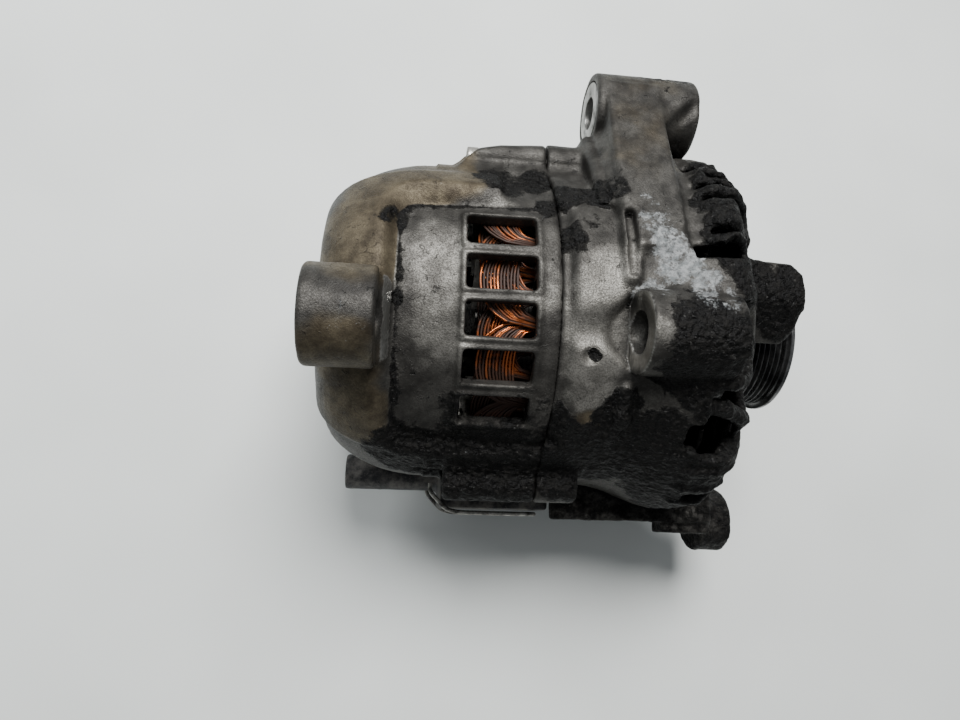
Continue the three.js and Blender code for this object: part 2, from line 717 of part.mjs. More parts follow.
const outputHole = (from, to) => bar(from, to, OUTPUT.hole, OUTPUT.y, OUTPUT.z, 12);
const positivePlate = cut(coolingPlate(-63.4, -60.6, 20, 49), outputHole(-65, -59));
add("positive_plate", positivePlate, brightAluminium);
add("negative_plate", coolingPlate(-53.6, -51.8, 22, 52), brightAluminium);
DIODE_ANGLES.forEach((angle, i) => {
  add(`positive_diode_${i + 1}`, diode(-63.7, -69, angle, 31), darkSteel);
  add(`negative_diode_${i + 1}`, diode(-51.5, -46.4, angle - 12, 34), darkSteel);
});
const studHead = bar(-60.3, -57.6, 5, OUTPUT.y, OUTPUT.z, 6);
add("output_stud", join(studHead, bar(OUTPUT.tip, -60, OUTPUT.radius, OUTPUT.y, OUTPUT.z, 12)), zincSteel);
const studNut = hexNut(-81.7, -77.7, 10, OUTPUT.radius + GAP);
add("output_nut", studNut.translate([0, OUTPUT.y, OUTPUT.z]), zincSteel);

add("brush_holder", brushHolder(), blackPlastic);
BRUSH.xs.forEach((x, i) => {
  const name = i ? "inner" : "outer";
  const { halfX, halfY, top, bottom } = BRUSH;
  add(`${name}_brush`, block(x - halfX, x + halfX, -halfY, halfY, bottom, top), carbon);
  const curve = new SpringCurve(x, SPRING_BOTTOM + 0.4, SPRING_TOP - 0.4, 1.6, 5);
  add(`${name}_brush_spring`, wire(curve, 0.3, 45, 4), machinedSteel);
});
add("voltage_regulator", block(-71, -64.5, 10, 27, -36, -16), blackPlastic);

const coverProfile = [
  [-77.4, 0],
  [-77.4, 37.6],
  [-76, 39.4],
  [-72.4, 39.4],
  [-72.4, 37.8],
  [-74, 37.2],
  [-74, 0],
];
const coverSlot = (angle) => alongX(sector(angle - 5, angle + 5, 15, 24, 10), -90, -70);
const coverSlots = spread(9, coverSlot, 15);
const coverHoles = postPlaces((y, z) => bar(-90, -70, 2 + GAP, y, z, 12));
const cover = cut(turned(coverProfile, 28), coverSlots, coverHoles, outputHole(-90, -70));
add("rear_cover", cover, blackPlastic);
postPlaces((y, z) => [y, z]).forEach(([y, z], i) => {
  const head = bar(-79.4, -77.7, 3.6, y, z, 12);
  add(`cover_screw_${i + 1}`, join(head, bar(-78, -67, 2, y, z, 10)), zincSteel);
});

add("connector_housing", connectorHousing(), greyPlastic);
pinPlaces((y, z) => [y, z]).forEach(([y, z], i) => {
  add(`connector_pin_${i + 1}`, bar(-56, -36.3, 0.9, y, z, 8), machinedSteel);
});
add("connector_bail", bailWire(), machinedSteel);

// The origin is the middle of the footprint, on the bench.
const box = new THREE.Box3().setFromObject(alternator);
const middle = box.getCenter(new THREE.Vector3());
alternator.position.set(-middle.x, -middle.y, -box.min.z);

export default alternator;
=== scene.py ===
import math
from functools import partial

import bpy
import numpy as np
from mathutils import Matrix, Vector


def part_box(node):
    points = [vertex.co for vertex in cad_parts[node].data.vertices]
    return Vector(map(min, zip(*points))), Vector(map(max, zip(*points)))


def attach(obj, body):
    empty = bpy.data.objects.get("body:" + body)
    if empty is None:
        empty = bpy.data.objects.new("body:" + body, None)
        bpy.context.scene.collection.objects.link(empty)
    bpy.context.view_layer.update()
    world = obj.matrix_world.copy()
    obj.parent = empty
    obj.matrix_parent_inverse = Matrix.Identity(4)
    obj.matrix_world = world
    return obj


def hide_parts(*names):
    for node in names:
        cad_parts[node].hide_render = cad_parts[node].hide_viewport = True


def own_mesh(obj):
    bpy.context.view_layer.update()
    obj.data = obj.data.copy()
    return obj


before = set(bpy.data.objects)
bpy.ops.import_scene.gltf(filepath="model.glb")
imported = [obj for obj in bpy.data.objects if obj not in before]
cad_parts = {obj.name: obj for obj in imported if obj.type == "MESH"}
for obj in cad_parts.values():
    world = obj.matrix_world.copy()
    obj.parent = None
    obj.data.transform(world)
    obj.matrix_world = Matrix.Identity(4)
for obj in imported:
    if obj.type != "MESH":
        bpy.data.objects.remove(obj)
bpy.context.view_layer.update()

# A used car alternator on a pale bench. Shapes are worked out in millimetres about the rotor axis, with
# X = 0 on the joint between the two brackets, +X towards the pulley and angles from straight up towards
# +Y, and then placed in the frame of the CAD model.

MM = 0.001
JOINT_GAP = 0.15

pulley_low, pulley_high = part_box("pulley")
joint_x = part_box("rear_bracket")[1].x + JOINT_GAP * MM
axis_y = (pulley_low.y + pulley_high.y) / 2
axis_z = (pulley_low.z + pulley_high.z) / 2
ORIGIN = Vector((joint_x, axis_y, axis_z))
TO_FRAME = Matrix.Translation(ORIGIN) @ Matrix.Scale(MM, 4)


# -------- places round the rotor axis
def polar(angle, radius):
    """The Y and Z of a point at an angle round the rotor axis."""
    turn = math.radians(angle)
    return radius * math.sin(turn), radius * math.cos(turn)


def around(count, first=0.0):
    """Evenly spaced angles round the axis."""
    return [first + 360.0 * i / count for i in range(count)]


# -------- solid shapes as distance fields
class Shape:
    """A box in space and a function that gives the distance to a shape in it, below 0 inside."""

    def __init__(self, low, high, distance):
        self.low = low
        self.high = high
        self.distance = distance


def beyond(value, low, high):
    """How far a value lies outside a span, below 0 inside it."""
    return np.abs(value - (low + high) / 2) - (high - low) / 2


def rounded(q, w, edge):
    """The distance to a solid bounded by two distances, with its edges rounded."""
    q = q + edge
    w = w + edge
    return np.minimum(np.maximum(q, w), 0) + np.hypot(np.maximum(q, 0), np.maximum(w, 0)) - edge


def rounded_box(q, edge):
    """The distance to a solid bounded by three distances, which are drawn in by its edges' radius."""
    out = np.sqrt(sum(np.maximum(v, 0) ** 2 for v in q))
    return out + np.minimum(np.maximum(np.maximum(q[0], q[1]), q[2]), 0) - edge


def tube(x0, x1, radius, y=0.0, z=0.0, edge=0.8, end_radius=None):
    """A round bar along X, which may taper."""
    end = radius if end_radius is None else end_radius
    reach = max(radius, end)

    def distance(x, y_, z_):
        along = np.clip((x - x0) / (x1 - x0), 0, 1)
        side = np.hypot(y_ - y, z_ - z) - (radius + (end - radius) * along)
        return rounded(side, beyond(x, x0, x1), edge)

    return Shape((x0, y - reach, z - reach), (x1, y + reach, z + reach), distance)


def block(low, high, edge=0.8):
    """A box between two corners."""
    middle = [(a + b) / 2 for a, b in zip(low, high)]
    half = [(b - a) / 2 - edge for a, b in zip(low, high)]

    def distance(x, y, z):
        return rounded_box([np.abs(v - m) - h for v, m, h in zip((x, y, z), middle, half)], edge)

    return Shape(low, high, distance)


def limb(start, end, radius, end_radius=None):
    """A bar with round ends between two points, which may taper."""
    a, b = np.array(start, float), np.array(end, float)
    span = b - a
    tip = radius if end_radius is None else end_radius
    reach = max(radius, tip)

    def distance(x, y, z):
        away = [x - a[0], y - a[1], z - a[2]]
        along = np.clip(sum(v * s for v, s in zip(away, span)) / max(span @ span, 1e-9), 0, 1)
        near = np.sqrt(sum((v - s * along) ** 2 for v, s in zip(away, span)))
        return near - (radius + (tip - radius) * along)

    return Shape(np.minimum(a, b) - reach, np.maximum(a, b) + reach, distance)


def outline_distance(points, u, v):
    """The distance from u, v to a closed outline, below 0 inside it."""
    nearest = np.full(np.broadcast(u, v).shape, np.inf, np.float32)
    inside = np.zeros(nearest.shape, bool)
    for (au, av), (bu, bv) in zip(points, points[1:] + points[:1]):
        eu, ev = bu - au, bv - av
        wu, wv = u - au, v - av
        along = np.clip((wu * eu + wv * ev) / (eu * eu + ev * ev), 0, 1)
        nearest = np.minimum(nearest, (wu - eu * along) ** 2 + (wv - ev * along) ** 2)
        crossed = (av > v) != (bv > v)
        inside ^= crossed & (u < (v - av) * eu / (ev or 1.0) + au)
    return np.where(inside, -1, 1) * np.sqrt(nearest)


TABLE_STEP = 0.25


def looked_up(points, x, radius):
    """The distance to an outline of [x, radius] points, for radii that vary in Y and Z only."""
    lowest = float(radius.min()) - TABLE_STEP
    rows = np.arange(lowest, float(radius.max()) + 3 * TABLE_STEP, TABLE_STEP)
    table = outline_distance(points, x.reshape(-1, 1), rows.reshape(1, -1)).astype(np.float32)
    place = (radius[0] - lowest) / TABLE_STEP
    row = place.astype(int)
    part = (place - row).astype(np.float32)
    return table[:, row] * (1 - part) + table[:, row + 1] * part


def turned(points):
    """A body turned about the rotor axis from a closed outline of [x, radius] points."""
    reach = max(r for _, r in points)
    xs = [x for x, _ in points]

    def distance(x, y, z):
        return looked_up(points, x, np.hypot(y, z))

    return Shape((min(xs), -reach, -reach), (max(xs), reach, reach), distance)


def plate(angle, points, thickness, edge=0.8):
    """A flat plate that stands on the body at an angle, from an outline of [x, radius] points."""
    sin, cos = math.sin(math.radians(angle)), math.cos(math.radians(angle))
    xs, rs = zip(*points)
    reach = thickness / 2
    ys = [r * sin + side * cos for r in (min(rs), max(rs)) for side in (-reach, reach)]
    zs = [r * cos - side * sin for r in (min(rs), max(rs)) for side in (-reach, reach)]

    def distance(x, y, z):
        face = looked_up(points, x, y * sin + z * cos)
        return rounded(face, np.abs(y * cos - z * sin) - reach, edge)

    return Shape((min(xs), min(ys), min(zs)), (max(xs), max(ys), max(zs)), distance)


def turn_from(middle, y, z):
    """The turn in radians, either way, from an angle round the axis to y, z."""
    turn = np.arctan2(y, z) - middle
    return np.abs((turn + math.pi) % (2 * math.pi) - math.pi)


def arc(x0, x1, start, end, inner, outer, edge=1.0):
    """Part of a ring round the rotor axis, between two angles and two radii."""
    middle, half = math.radians((start + end) / 2), math.radians(end - start) / 2
    angles = np.radians(np.linspace(start, end, 9))
    ys = np.outer(np.sin(angles), (inner, outer))
    zs = np.outer(np.cos(angles), (inner, outer))

    def distance(x, y, z):
        radius = np.hypot(y, z)
        turn = turn_from(middle, y, z)
        q = [
            beyond(x, x0, x1) + edge,
            (turn - half) * radius + edge,
            beyond(radius, inner, outer) + edge,
        ]
        return rounded_box(q, edge)

    return Shape((x0, ys.min(), zs.min()), (x1, ys.max(), zs.max()), distance)


def slab(x0, x1, points, edge):
    """An outline of (y, z) points pushed out along X."""
    def distance(x, y, z):
        return rounded(outline_distance(points, y, z), beyond(x, x0, x1), edge)

    ys, zs = zip(*points)
    return Shape((x0, min(ys), min(zs)), (x1, max(ys), max(zs)), distance)


def tab(angle, foot, foot_width, radial, radius, x0, x1, edge=1.2):
    """An ear that grows out of the body at an angle and ends in a round head."""
    points = [(foot, -foot_width)]
    for turn in np.radians(range(-90, 91, 15)):
        points.append((radial + radius * math.cos(turn), radius * math.sin(turn)))
    points.append((foot, foot_width))
    sin, cos = math.sin(math.radians(angle)), math.cos(math.radians(angle))
    flat = [(out * sin + side * cos, out * cos - side * sin) for out, side in points]
    return slab(x0, x1, flat, edge)


def joined(a, b, fillet):
    """The distance to two solids together, with a fillet where they meet."""
    blend = np.maximum(fillet - np.abs(a - b), 0) / fillet
    return np.minimum(a, b) - blend * blend * fillet / 4


class Field:
    """A block of space filled with the distance to a solid, which shapes are added to and cut from."""

    FAR = 9.0
    MARGIN = 2.0

    def __init__(self, low, high, step):
        self.axes = [np.arange(a, b + step, step, dtype=np.float32) for a, b in zip(low, high)]
        self.d = np.full([len(axis) for axis in self.axes], self.FAR, np.float32)

    def near(self, shape, fillet):
        """The part of the block that a shape can change, and the distance to the shape there."""
        reach = fillet + self.MARGIN
        spans = zip(self.axes, shape.low, shape.high)
        part = tuple(slice(*np.searchsorted(axis, (a - reach, b + reach))) for axis, a, b in spans)
        grid = np.ix_(*[axis[s] for axis, s in zip(self.axes, part)])
        return part, shape.distance(*grid)

    def add(self, *shapes, fillet=1.0):
        for shape in shapes:
            part, d = self.near(shape, fillet)
            self.d[part] = joined(self.d[part], d, fillet)

    def cut(self, *shapes, fillet=0.6):
        for shape in shapes:
            part, d = self.near(shape, fillet)
            self.d[part] = -joined(-self.d[part], d, fillet)

    def surface(self):
        """Points and quads of the surface, one point in each cell that the surface crosses."""
        d = self.d
        inside = d < 0
        size = [n - 1 for n in d.shape]
        corners = [(a, b, c) for a in (0, 1) for b in (0, 1) for c in (0, 1)]
        count = np.zeros(size, np.uint8)
        for a, b, c in corners:
            count += inside[a:a + size[0], b:b + size[1], c:c + size[2]]
        cells = np.argwhere((count > 0) & (count < len(corners)))
        index = np.full(size, -1, np.int32)
        index[tuple(cells.T)] = np.arange(len(cells))
        total = np.zeros((len(cells), 3), np.float32)
        crossings = np.zeros(len(cells), np.float32)
        value = {c: d[tuple((cells + c).T)] for c in corners}
        for start in corners:
            for axis in range(3):
                if start[axis]:
                    continue
                end = tuple(1 if i == axis else s for i, s in enumerate(start))
                a, b = value[start], value[end]
                crossed = (a < 0) != (b < 0)
                share = np.where(crossed, a / np.where(crossed, a - b, 1), 0)
                point = np.array(start, np.float32) + share[:, None] * np.eye(3, dtype=np.float32)[axis]
                total += point * crossed[:, None]
                crossings += crossed
        place = cells + total / crossings[:, None]
        ticks = [(np.arange(len(axis)), axis) for axis in self.axes]
        points = np.stack([np.interp(place[:, i], *tick) for i, tick in enumerate(ticks)], 1)
        quads = []
        for axis in range(3):
            u, v = (axis + 1) % 3, (axis + 2) % 3
            low = [slice(1, -1)] * 3
            low[axis] = slice(0, -1)
            high = list(low)
            high[axis] = slice(1, None)
            here = inside[tuple(low)]
            there = inside[tuple(high)]
            for flip, changed in ((False, here & ~there), (True, ~here & there)):
                edge = np.argwhere(changed)
                edge[:, u] += 1
                edge[:, v] += 1
                around_edge = []
                for du, dv in ((1, 1), (0, 1), (0, 0), (1, 0)):
                    cell = edge.copy()
                    cell[:, u] -= du
                    cell[:, v] -= dv
                    around_edge.append(index[tuple(cell.T)])
                quad = np.stack(around_edge, 1)
                quads.append(quad[:, ::-1] if flip else quad)
        return points, np.concatenate(quads)


# -------- noise and surface finish in the mesh
NOISE_CELLS = 32
SMOOTHING_ROUNDS = 10


def bumps(points, size, seed):
    """Smooth random values from -1 to 1 at points, with bumps of about that size."""
    table = np.random.default_rng(seed).uniform(-1, 1, [NOISE_CELLS] * 3).astype(np.float32)
    place = points / size
    cell = np.floor(place).astype(int)
    part = (place - cell).astype(np.float32)
    part = part * part * (3 - 2 * part)
    total = np.zeros(len(points), np.float32)
    for a in (0, 1):
        for b in (0, 1):
            for c in (0, 1):
                corner = table[tuple((cell + (a, b, c)).T % NOISE_CELLS)]
                weight = [part[:, i] if bit else 1 - part[:, i] for i, bit in enumerate((a, b, c))]
                total += corner * weight[0] * weight[1] * weight[2]
    return total


def rough_bumps(points, size, seed):
    """Bumps of three sizes added together."""
    return sum(bumps(points, size / 2**i, seed + i) / 1.7**i for i in range(3)) / 1.8


def step_up(value, low, high):
    """0 below low, 1 above high, and smooth between them."""
    t = np.clip((value - low) / (high - low), 0, 1)
    return t * t * (3 - 2 * t)


# -------- meshes and pieces
def build_mesh(name, points, faces):
    """A smooth-shaded mesh from an array of points and an array of quads."""
    mesh = bpy.data.meshes.new(name)
    mesh.vertices.add(len(points))
    mesh.vertices.foreach_set("co", np.asarray(points, np.float32).ravel())
    mesh.loops.add(faces.size)
    mesh.loops.foreach_set("vertex_index", faces.astype(np.int32).ravel())
    mesh.polygons.add(len(faces))
    mesh.polygons.foreach_set("loop_start", np.arange(0, faces.size, faces.shape[1], dtype=np.int32))
    mesh.update(calc_edges=True)
    mesh.validate()
    mesh.shade_smooth()
    return mesh


def of_points(mesh, what):
    """The "co" or the "normal" of each of a mesh's points."""
    values = np.zeros(len(mesh.vertices) * 3, np.float32)
    mesh.vertices.foreach_get(what, values)
    return values.reshape(-1, 3)


def hollows(mesh):
    """How far each point lies in a hollow, above 0, or on an edge, below 0, in millimetres."""
    points, normals = of_points(mesh, "co"), of_points(mesh, "normal")
    edges = np.zeros(len(mesh.edges) * 2, np.int32)
    mesh.edges.foreach_get("vertices", edges)
    a, b = edges.reshape(-1, 2).T
    count = np.bincount(a, minlength=len(points)) + np.bincount(b, minlength=len(points))
    smooth = points.astype(float)
    for _ in range(SMOOTHING_ROUNDS):
        total = np.stack([
            np.bincount(a, smooth[b, i], len(points)) + np.bincount(b, smooth[a, i], len(points))
            for i in range(3)
        ], 1)
        smooth = 0.5 * smooth + 0.5 * total / np.maximum(count, 1)[:, None]
    return np.einsum("ij,ij->i", smooth - points, normals).astype(np.float32)


def paint(mesh, name, values):
    """Stores a value for each of a mesh's points under a name that a material reads."""
    attribute = mesh.attributes.new(name, "FLOAT", "POINT")
    attribute.data.foreach_set("value", np.asarray(values, np.float32))


def as_piece(name, mesh, material, body, slot, *replaced):
    """A finished piece, moved from the rotor's frame to the model's, that rides on a body."""
    mesh.transform(TO_FRAME)
    piece = bpy.data.objects.new(name, mesh)
    bpy.context.scene.collection.objects.link(piece)
    mesh.materials.clear()
    mesh.materials.append(material)
    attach(piece, body)
    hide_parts(*replaced)
    return piece


def stand_in(name, surface, material, body, slot):
    """A piece made of points and quads, which replaces the part of the same name."""
    return as_piece(name, build_mesh(name, *surface), material, body, slot, name)


# -------- material building
class Paint:
    """A procedural material: small helpers that add and link its nodes. Sizes are in millimetres."""

    def __init__(self, name):
        self.material = bpy.data.materials.new(name)
        self.material.use_nodes = True
        self.tree = self.material.node_tree
        self.shader = self.tree.nodes["Principled BSDF"]
        where = self.node("ShaderNodeTexCoord", {}).outputs["Object"]
        scale = self.node("ShaderNodeVectorMath", {0: where, "Scale": 1 / MM}, operation="SCALE")
        self.place = scale.outputs[0]

    def give(self, socket, value):
        """Links a socket to another one, or sets its colour or its number."""
        if isinstance(value, bpy.types.NodeSocket):
            self.tree.links.new(value, socket)
        elif socket.type == "RGBA":
            socket.default_value = (*value, 1.0)
        else:
            socket.default_value = value

    def node(self, kind, inputs, **settings):
        node = self.tree.nodes.new(kind)
        for setting, value in settings.items():
            setattr(node, setting, value)
        for socket, value in inputs.items():
            self.give(node.inputs[socket], value)
        return node

    def noise(self, size, detail=3.0, roughness=0.55, stretch=(1, 1, 1)):
        place = self.place
        if stretch != (1, 1, 1):
            stretched = self.node("ShaderNodeVectorMath", {0: place, 1: stretch}, operation="MULTIPLY")
            place = stretched.outputs[0]
        inputs = {"Vector": place, "Scale": 1.0 / size, "Detail": detail, "Roughness": roughness}
        return self.node("ShaderNodeTexNoise", inputs).outputs["Fac"]

    def cells(self, size, feature, warp):
        """Irregular cells, with their walls bent by up to about a warp in millimetres."""
        bend = self.node("ShaderNodeTexNoise", {"Vector": self.place, "Scale": 1.6 / size})
        inputs = {0: bend.outputs["Color"], 1: [2 * warp] * 3, 2: self.place}
        bent = self.node("ShaderNodeVectorMath", inputs, operation="MULTIPLY_ADD").outputs[0]
        inputs = {"Vector": bent, "Scale": 1.0 / size}
        return self.node("ShaderNodeTexVoronoi", inputs, feature=feature).outputs["Distance"]

    def value(self, name):
        """A mask that is painted on the mesh."""
        return self.node("ShaderNodeAttribute", {}, attribute_name=name).outputs["Fac"]

    def sum(self, operation, a, b):
        return self.node("ShaderNodeMath", {0: a, 1: b}, operation=operation).outputs[0]

    def add(self, a, b):
        return self.sum("ADD", a, b)

    def times(self, a, b):
        return self.sum("MULTIPLY", a, b)

    def swing(self, value, amount):
        """How far a noise lies above or below its middle, times an amount."""
        return self.times(self.add(value, -0.5), amount)

    def range(self, value, low, high, to_low=0.0, to_high=1.0):
        """Maps low..high to to_low..to_high, smoothly, and holds it there."""
        inputs = {"Value": value, "From Min": low, "From Max": high, "To Min": to_low, "To Max": to_high}
        return self.node("ShaderNodeMapRange", inputs, interpolation_type="SMOOTHSTEP").outputs["Result"]

    def mix(self, share, a, b):
        """Two colours mixed."""
        return self.node("ShaderNodeMix", {0: share, 6: a, 7: b}, data_type="RGBA").outputs[2]

    def blend(self, share, a, b):
        """Two numbers mixed."""
        return self.node("ShaderNodeMix", {0: share, 2: a, 3: b}, data_type="FLOAT").outputs[0]

    def bump(self, height, depth, strength):
        """A bump whose full height is a depth in millimetres."""
        inputs = {"Height": height, "Distance": depth * MM, "Strength": strength}
        self.give(self.shader.inputs["Normal"], self.node("ShaderNodeBump", inputs).outputs["Normal"])

    def finish(self, color, roughness, metallic):
        for name, value in (("Base Color", color), ("Roughness", roughness), ("Metallic", metallic)):
            self.give(self.shader.inputs[name], value)
        return self.material


def cast_metal():
    """Sand-cast aluminium that shows dirt, oil film, pale corrosion and machined faces where painted, with
    painted shade mixed into its dirt in hollows, along the recess wall and in a pit.
    """
    p = Paint("cast_metal")
    p.shader.inputs["Specular IOR Level"].default_value = 0.12
    grime, film, bloom = p.value("grime"), p.value("film"), p.value("bloom")
    bright, hollow, sandy = p.value("bright"), p.value("hollow"), p.value("sandy")
    grain = p.noise(0.6, 3.0, 0.65)
    mottle = p.noise(8.0, 5.0, 0.65)
    crust = p.noise(2.2, 5.0, 0.7)
    clod = p.range(p.cells(1.7, "SMOOTH_F1", 0.9), 0.75, 0.1)
    patchy = p.noise(4.5, 6.0, 0.68)
    cracks = p.cells(8.0, "DISTANCE_TO_EDGE", 5.0)
    fleck = p.noise(1.3, 4.0, 0.75)

    soiled = p.mix(p.range(mottle, 0.3, 0.7), (0.022, 0.021, 0.0195), (0.070, 0.067, 0.061))
    clean = p.mix(p.range(mottle, 0.35, 0.65), (0.115, 0.11, 0.099), (0.205, 0.197, 0.178))
    bare = p.mix(p.range(p.add(sandy, p.swing(mottle, 0.6)), 0.1, 0.95), soiled, clean)
    pits = p.range(grain, 0.57, 0.40)
    bare = p.mix(p.times(pits, 0.5), bare, (0.028, 0.026, 0.023))
    filmed = p.mix(p.range(mottle, 0.3, 0.7), (0.034, 0.027, 0.018), (0.105, 0.087, 0.058))
    filmed = p.mix(p.times(pits, 0.3), filmed, (0.03, 0.024, 0.017))
    color = p.mix(p.range(film, 0.2, 0.7), bare, filmed)
    # Dirt and painted shade: the grime mask, which also holds painted shade, and a darkening of the hollows
    # that stands for dirt gathered there and for their shade.
    dirt = p.add(grime, p.times(p.range(hollow, 0.04, 0.5), 0.55))
    dirt = p.range(p.add(dirt, p.swing(patchy, 1.5)), 0.34, 0.64)
    edge_of_dirt = p.times(p.range(dirt, 0.0, 0.3), p.range(dirt, 1.0, 0.6))
    cracked = p.add(edge_of_dirt, p.times(p.range(patchy, 0.52, 0.62), 0.7))
    creep = p.times(p.range(cracks, 0.06, 0.0), cracked)
    dirt = p.sum("MAXIMUM", dirt, p.times(creep, 0.8))
    black = p.mix(p.range(crust, 0.42, 0.75), (0.0020, 0.0019, 0.0018), (0.0125, 0.0117, 0.0105))
    black = p.mix(p.times(p.range(fleck, 0.60, 0.70), 0.55), black, (0.085, 0.083, 0.078))
    color = p.mix(dirt, color, black)
    pale = p.add(p.swing(fleck, 2.4), p.swing(patchy, 2.6))
    pale = p.range(p.add(bloom, pale), 0.6, 1.3)
    pale_shade = p.mix(p.range(crust, 0.4, 0.6), (0.15, 0.16, 0.162), (0.29, 0.298, 0.298))
    color = p.mix(p.times(pale, 0.85), color, pale_shade)
    machined = p.mix(p.range(mottle, 0.4, 0.7), (0.20, 0.195, 0.18), (0.42, 0.41, 0.39))
    color = p.mix(bright, color, machined)

    rough = p.blend(dirt, p.range(grain, 0.3, 0.7, 0.56, 0.40), p.range(crust, 0.35, 0.7, 0.42, 0.8))
    rough = p.blend(pale, rough, 0.85)
    rough = p.blend(bright, rough, 0.28)
    metal = p.blend(dirt, p.blend(film, 0.6, 0.35), 0.0)
    metal = p.blend(pale, metal, 0.0)
    metal = p.blend(bright, metal, 0.95)

    sand = p.times(grain, 0.34)
    clods = p.times(p.add(p.times(crust, 0.8), p.times(clod, 0.8)), p.times(dirt, 1.4))
    p.bump(p.sum("SUBTRACT", p.add(sand, clods), p.times(creep, 0.8)), 0.6, 0.9)
    return p.finish(color, rough, metal)


# -------- castings
STEP = 0.7

BORE = 58.9
BOLT_Y, BOLT_Z, BOLT_HOLE = -18.6, 66.0, 5.4
BOLT_ANGLE = math.degrees(math.atan2(BOLT_Y, BOLT_Z))
WINDOW = {"from": -32.0, "to": -7.6, "width": 11.2, "pitch": 15.4, "first": 16.6, "radius": 61.5}
EARS = [(60, 67.5), (160, 70.9), (200, 70.9), (-78, 67.5)]
EAR = {"radius": 7.4, "from": -35.0, "to": 16.0, "seat": -26.0, "bolt": 2.6}
HEAD_RADIUS = EAR["bolt"] * 1.65
HEAD_LENGTH = EAR["bolt"] * 1.8
COVER_POSTS = [polar(angle, 33.0) for angle in (90, 225, 315)]
UPPER_LUG = {"y": 83.0, "z": 34.0, "from": 18.6, "to": 60.0, "radius": 15.5, "bore": 12.3, "hole": 6.3}
FOOT_LUG = {"y": -78.0, "z": -34.0, "from": 83.0, "to": 97.5, "radius": 13.5, "hole": 5.4}
RECESS = {
    "from": -56.0, "to": 0.6, "high": 28.5, "low": -60.0, "deep": 58.7, "slope": 0.053, "bank": 4.6,
    "corner": 9.0, "radius": 62.0,
}
RECESS_MIDDLE = math.radians(RECESS["high"] + RECESS["low"]) / 2
RECESS_HALF = math.radians(RECESS["high"] - RECESS["low"]) / 2
BODY_RADIUS = 60.0
SHOULDER_POINTS = 14


def shoulder(x, radius, width, height, power):
    """Points on a quarter of a squarish oval, from its top round to its left side."""
    turns = np.linspace(0, math.pi / 2, SHOULDER_POINTS)
    return [
        (x - width * math.sin(t) ** (2 / power), radius + height * math.cos(t) ** (2 / power))
        for t in turns
    ]


def between(shape, start, end, edge=3.0):
    """The part of a shape that lies between two angles round the axis."""
    middle, half = math.radians(start + end) / 2, math.radians(end - start) / 2

    def distance(x, y, z):
        return rounded(shape.distance(x, y, z), (turn_from(middle, y, z) - half) * BODY_RADIUS, edge)

    return Shape(shape.low, shape.high, distance)


def above_recess(x, radius):
    """How far a radius lies above the recess's floor."""
    return radius - (RECESS["deep"] + (x - RECESS["from"]) * RECESS["slope"])


def inside_recess(turn):
    """How far a turn in radians lies inside the recess's side walls, as a length."""
    return (RECESS_HALF - np.abs(turn - RECESS_MIDDLE)) * RECESS["radius"]


def recess():
    """The wide shallow floor that the air windows open from, with sloping walls and round corners."""
    slant = 0.71

    def distance(x, y, z):
        above = above_recess(x, np.hypot(y, z))
        bank = np.minimum(above, RECESS["bank"])
        wall = (RECESS["from"] - x - bank) * slant
        side = (-inside_recess(np.arctan2(y, z)) - bank) * slant
        plan = np.maximum(rounded(wall, side, RECESS["corner"]), x - RECESS["to"])
        return rounded(plan, -above, 0.8)

    return Shape((-64, -60, 20), (RECESS["to"], 40, 90), distance)


def window(middle, grow=0.0, inner=50.0, outer=80.0, edge=1.4):
    """One air window, or a block that is larger than it by a length all round."""
    half = WINDOW["width"] / 2 + math.degrees(grow / WINDOW["radius"])
    return arc(WINDOW["from"] - grow, WINDOW["to"] + grow, middle - half, middle + half, inner, outer, edge)


def window_angles():
    """The middle of each window: five over the recess, and the others round the back and below."""
    rows = [(WINDOW["first"], 5), (130.0, 4), (180.0, 1), (-112.0, 2)]
    return [first - i * WINDOW["pitch"] for first, count in rows for i in range(count)]


def rear_shell():
    """The bowl with its bearing seat, the raised hood, the recess and the frames of its windows."""
    f = Field((-84.6, -80, -79), (0.8, 80, 85), STEP)
    f.add(turned([
        (0.5, BORE), (0.5, 61.7), (-0.1, 62), (-0.1, 64), *shoulder(-42, 40.8, 39.6, 22.8, 1.9),
        (-81.4, 40.2), (-78.4, 40.2), (-74.6, 47.4), (-67, 54), (-57, 56.8), (-42, 57.4), (-42, 20),
        (-51.4, 20), (-51.4, 12.6), (-50.3, 12.6), (-50.3, 16.3), (-38, 16.3), (-38, 57.4), (-9, 57.4),
        (-8, BORE),
    ]))
    hood = turned([
        (-2, 60), (-2, 64), *shoulder(-42, 40.8, 39.8, 23.2, 2.4), (-74.6, 47.4), (-67, 54), (-57, 58),
    ])
    f.add(between(hood, -64, 44), fillet=6.0)
    f.cut(recess(), fillet=2.4)
    f.cut(arc(-19, 0.6, 27, 50, 61.9, 90, 3.0), fillet=2.4)
    f.add(*[window(middle, 1.5, BORE, 61.9, 1.0) for middle in window_angles()[:5]], fillet=2.2)
    return f


def rear_ears():
    """The four ears for the through bolts; the one beside the upper lug is sloped off on top."""
    slope = turned([(-37, 62), (-32, 67.8), (-27, 71.6), (-18, 73.4), (3, 74.7), (3, 95), (-37, 95)])
    ears = []
    for angle, radial in EARS:
        ear = Field((-36, -84, -80), (0.8, 84, 60), STEP)
        ear.add(tab(angle, 58, 16, radial, EAR["radius"], EAR["from"], -0.2, 1.6))
        ears.append(ear)
    ears[0].cut(slope)
    return ears


def rear_sleeve():
    """The sleeve that the pivot bolt comes out of, with the web under it."""
    f = Field((-84.6, -40, 36), (-50, 4, 85), STEP)
    f.add(tube(-83.5, -58, 16.4, BOLT_Y, BOLT_Z, 1.6))
    f.add(plate(BOLT_ANGLE, [(-80, 62), (-81, 43), (-60, 56), (-60, 66)], 20, 2.0), fillet=6.0)
    f.cut(turned([(-83, 0), (-83, 40.2), (-78.4, 40.2), (-74.6, 47.4), (-67, 54), (-57, 57.6), (-43, 0)]))
    f.cut(recess(), fillet=1.2)
    return f


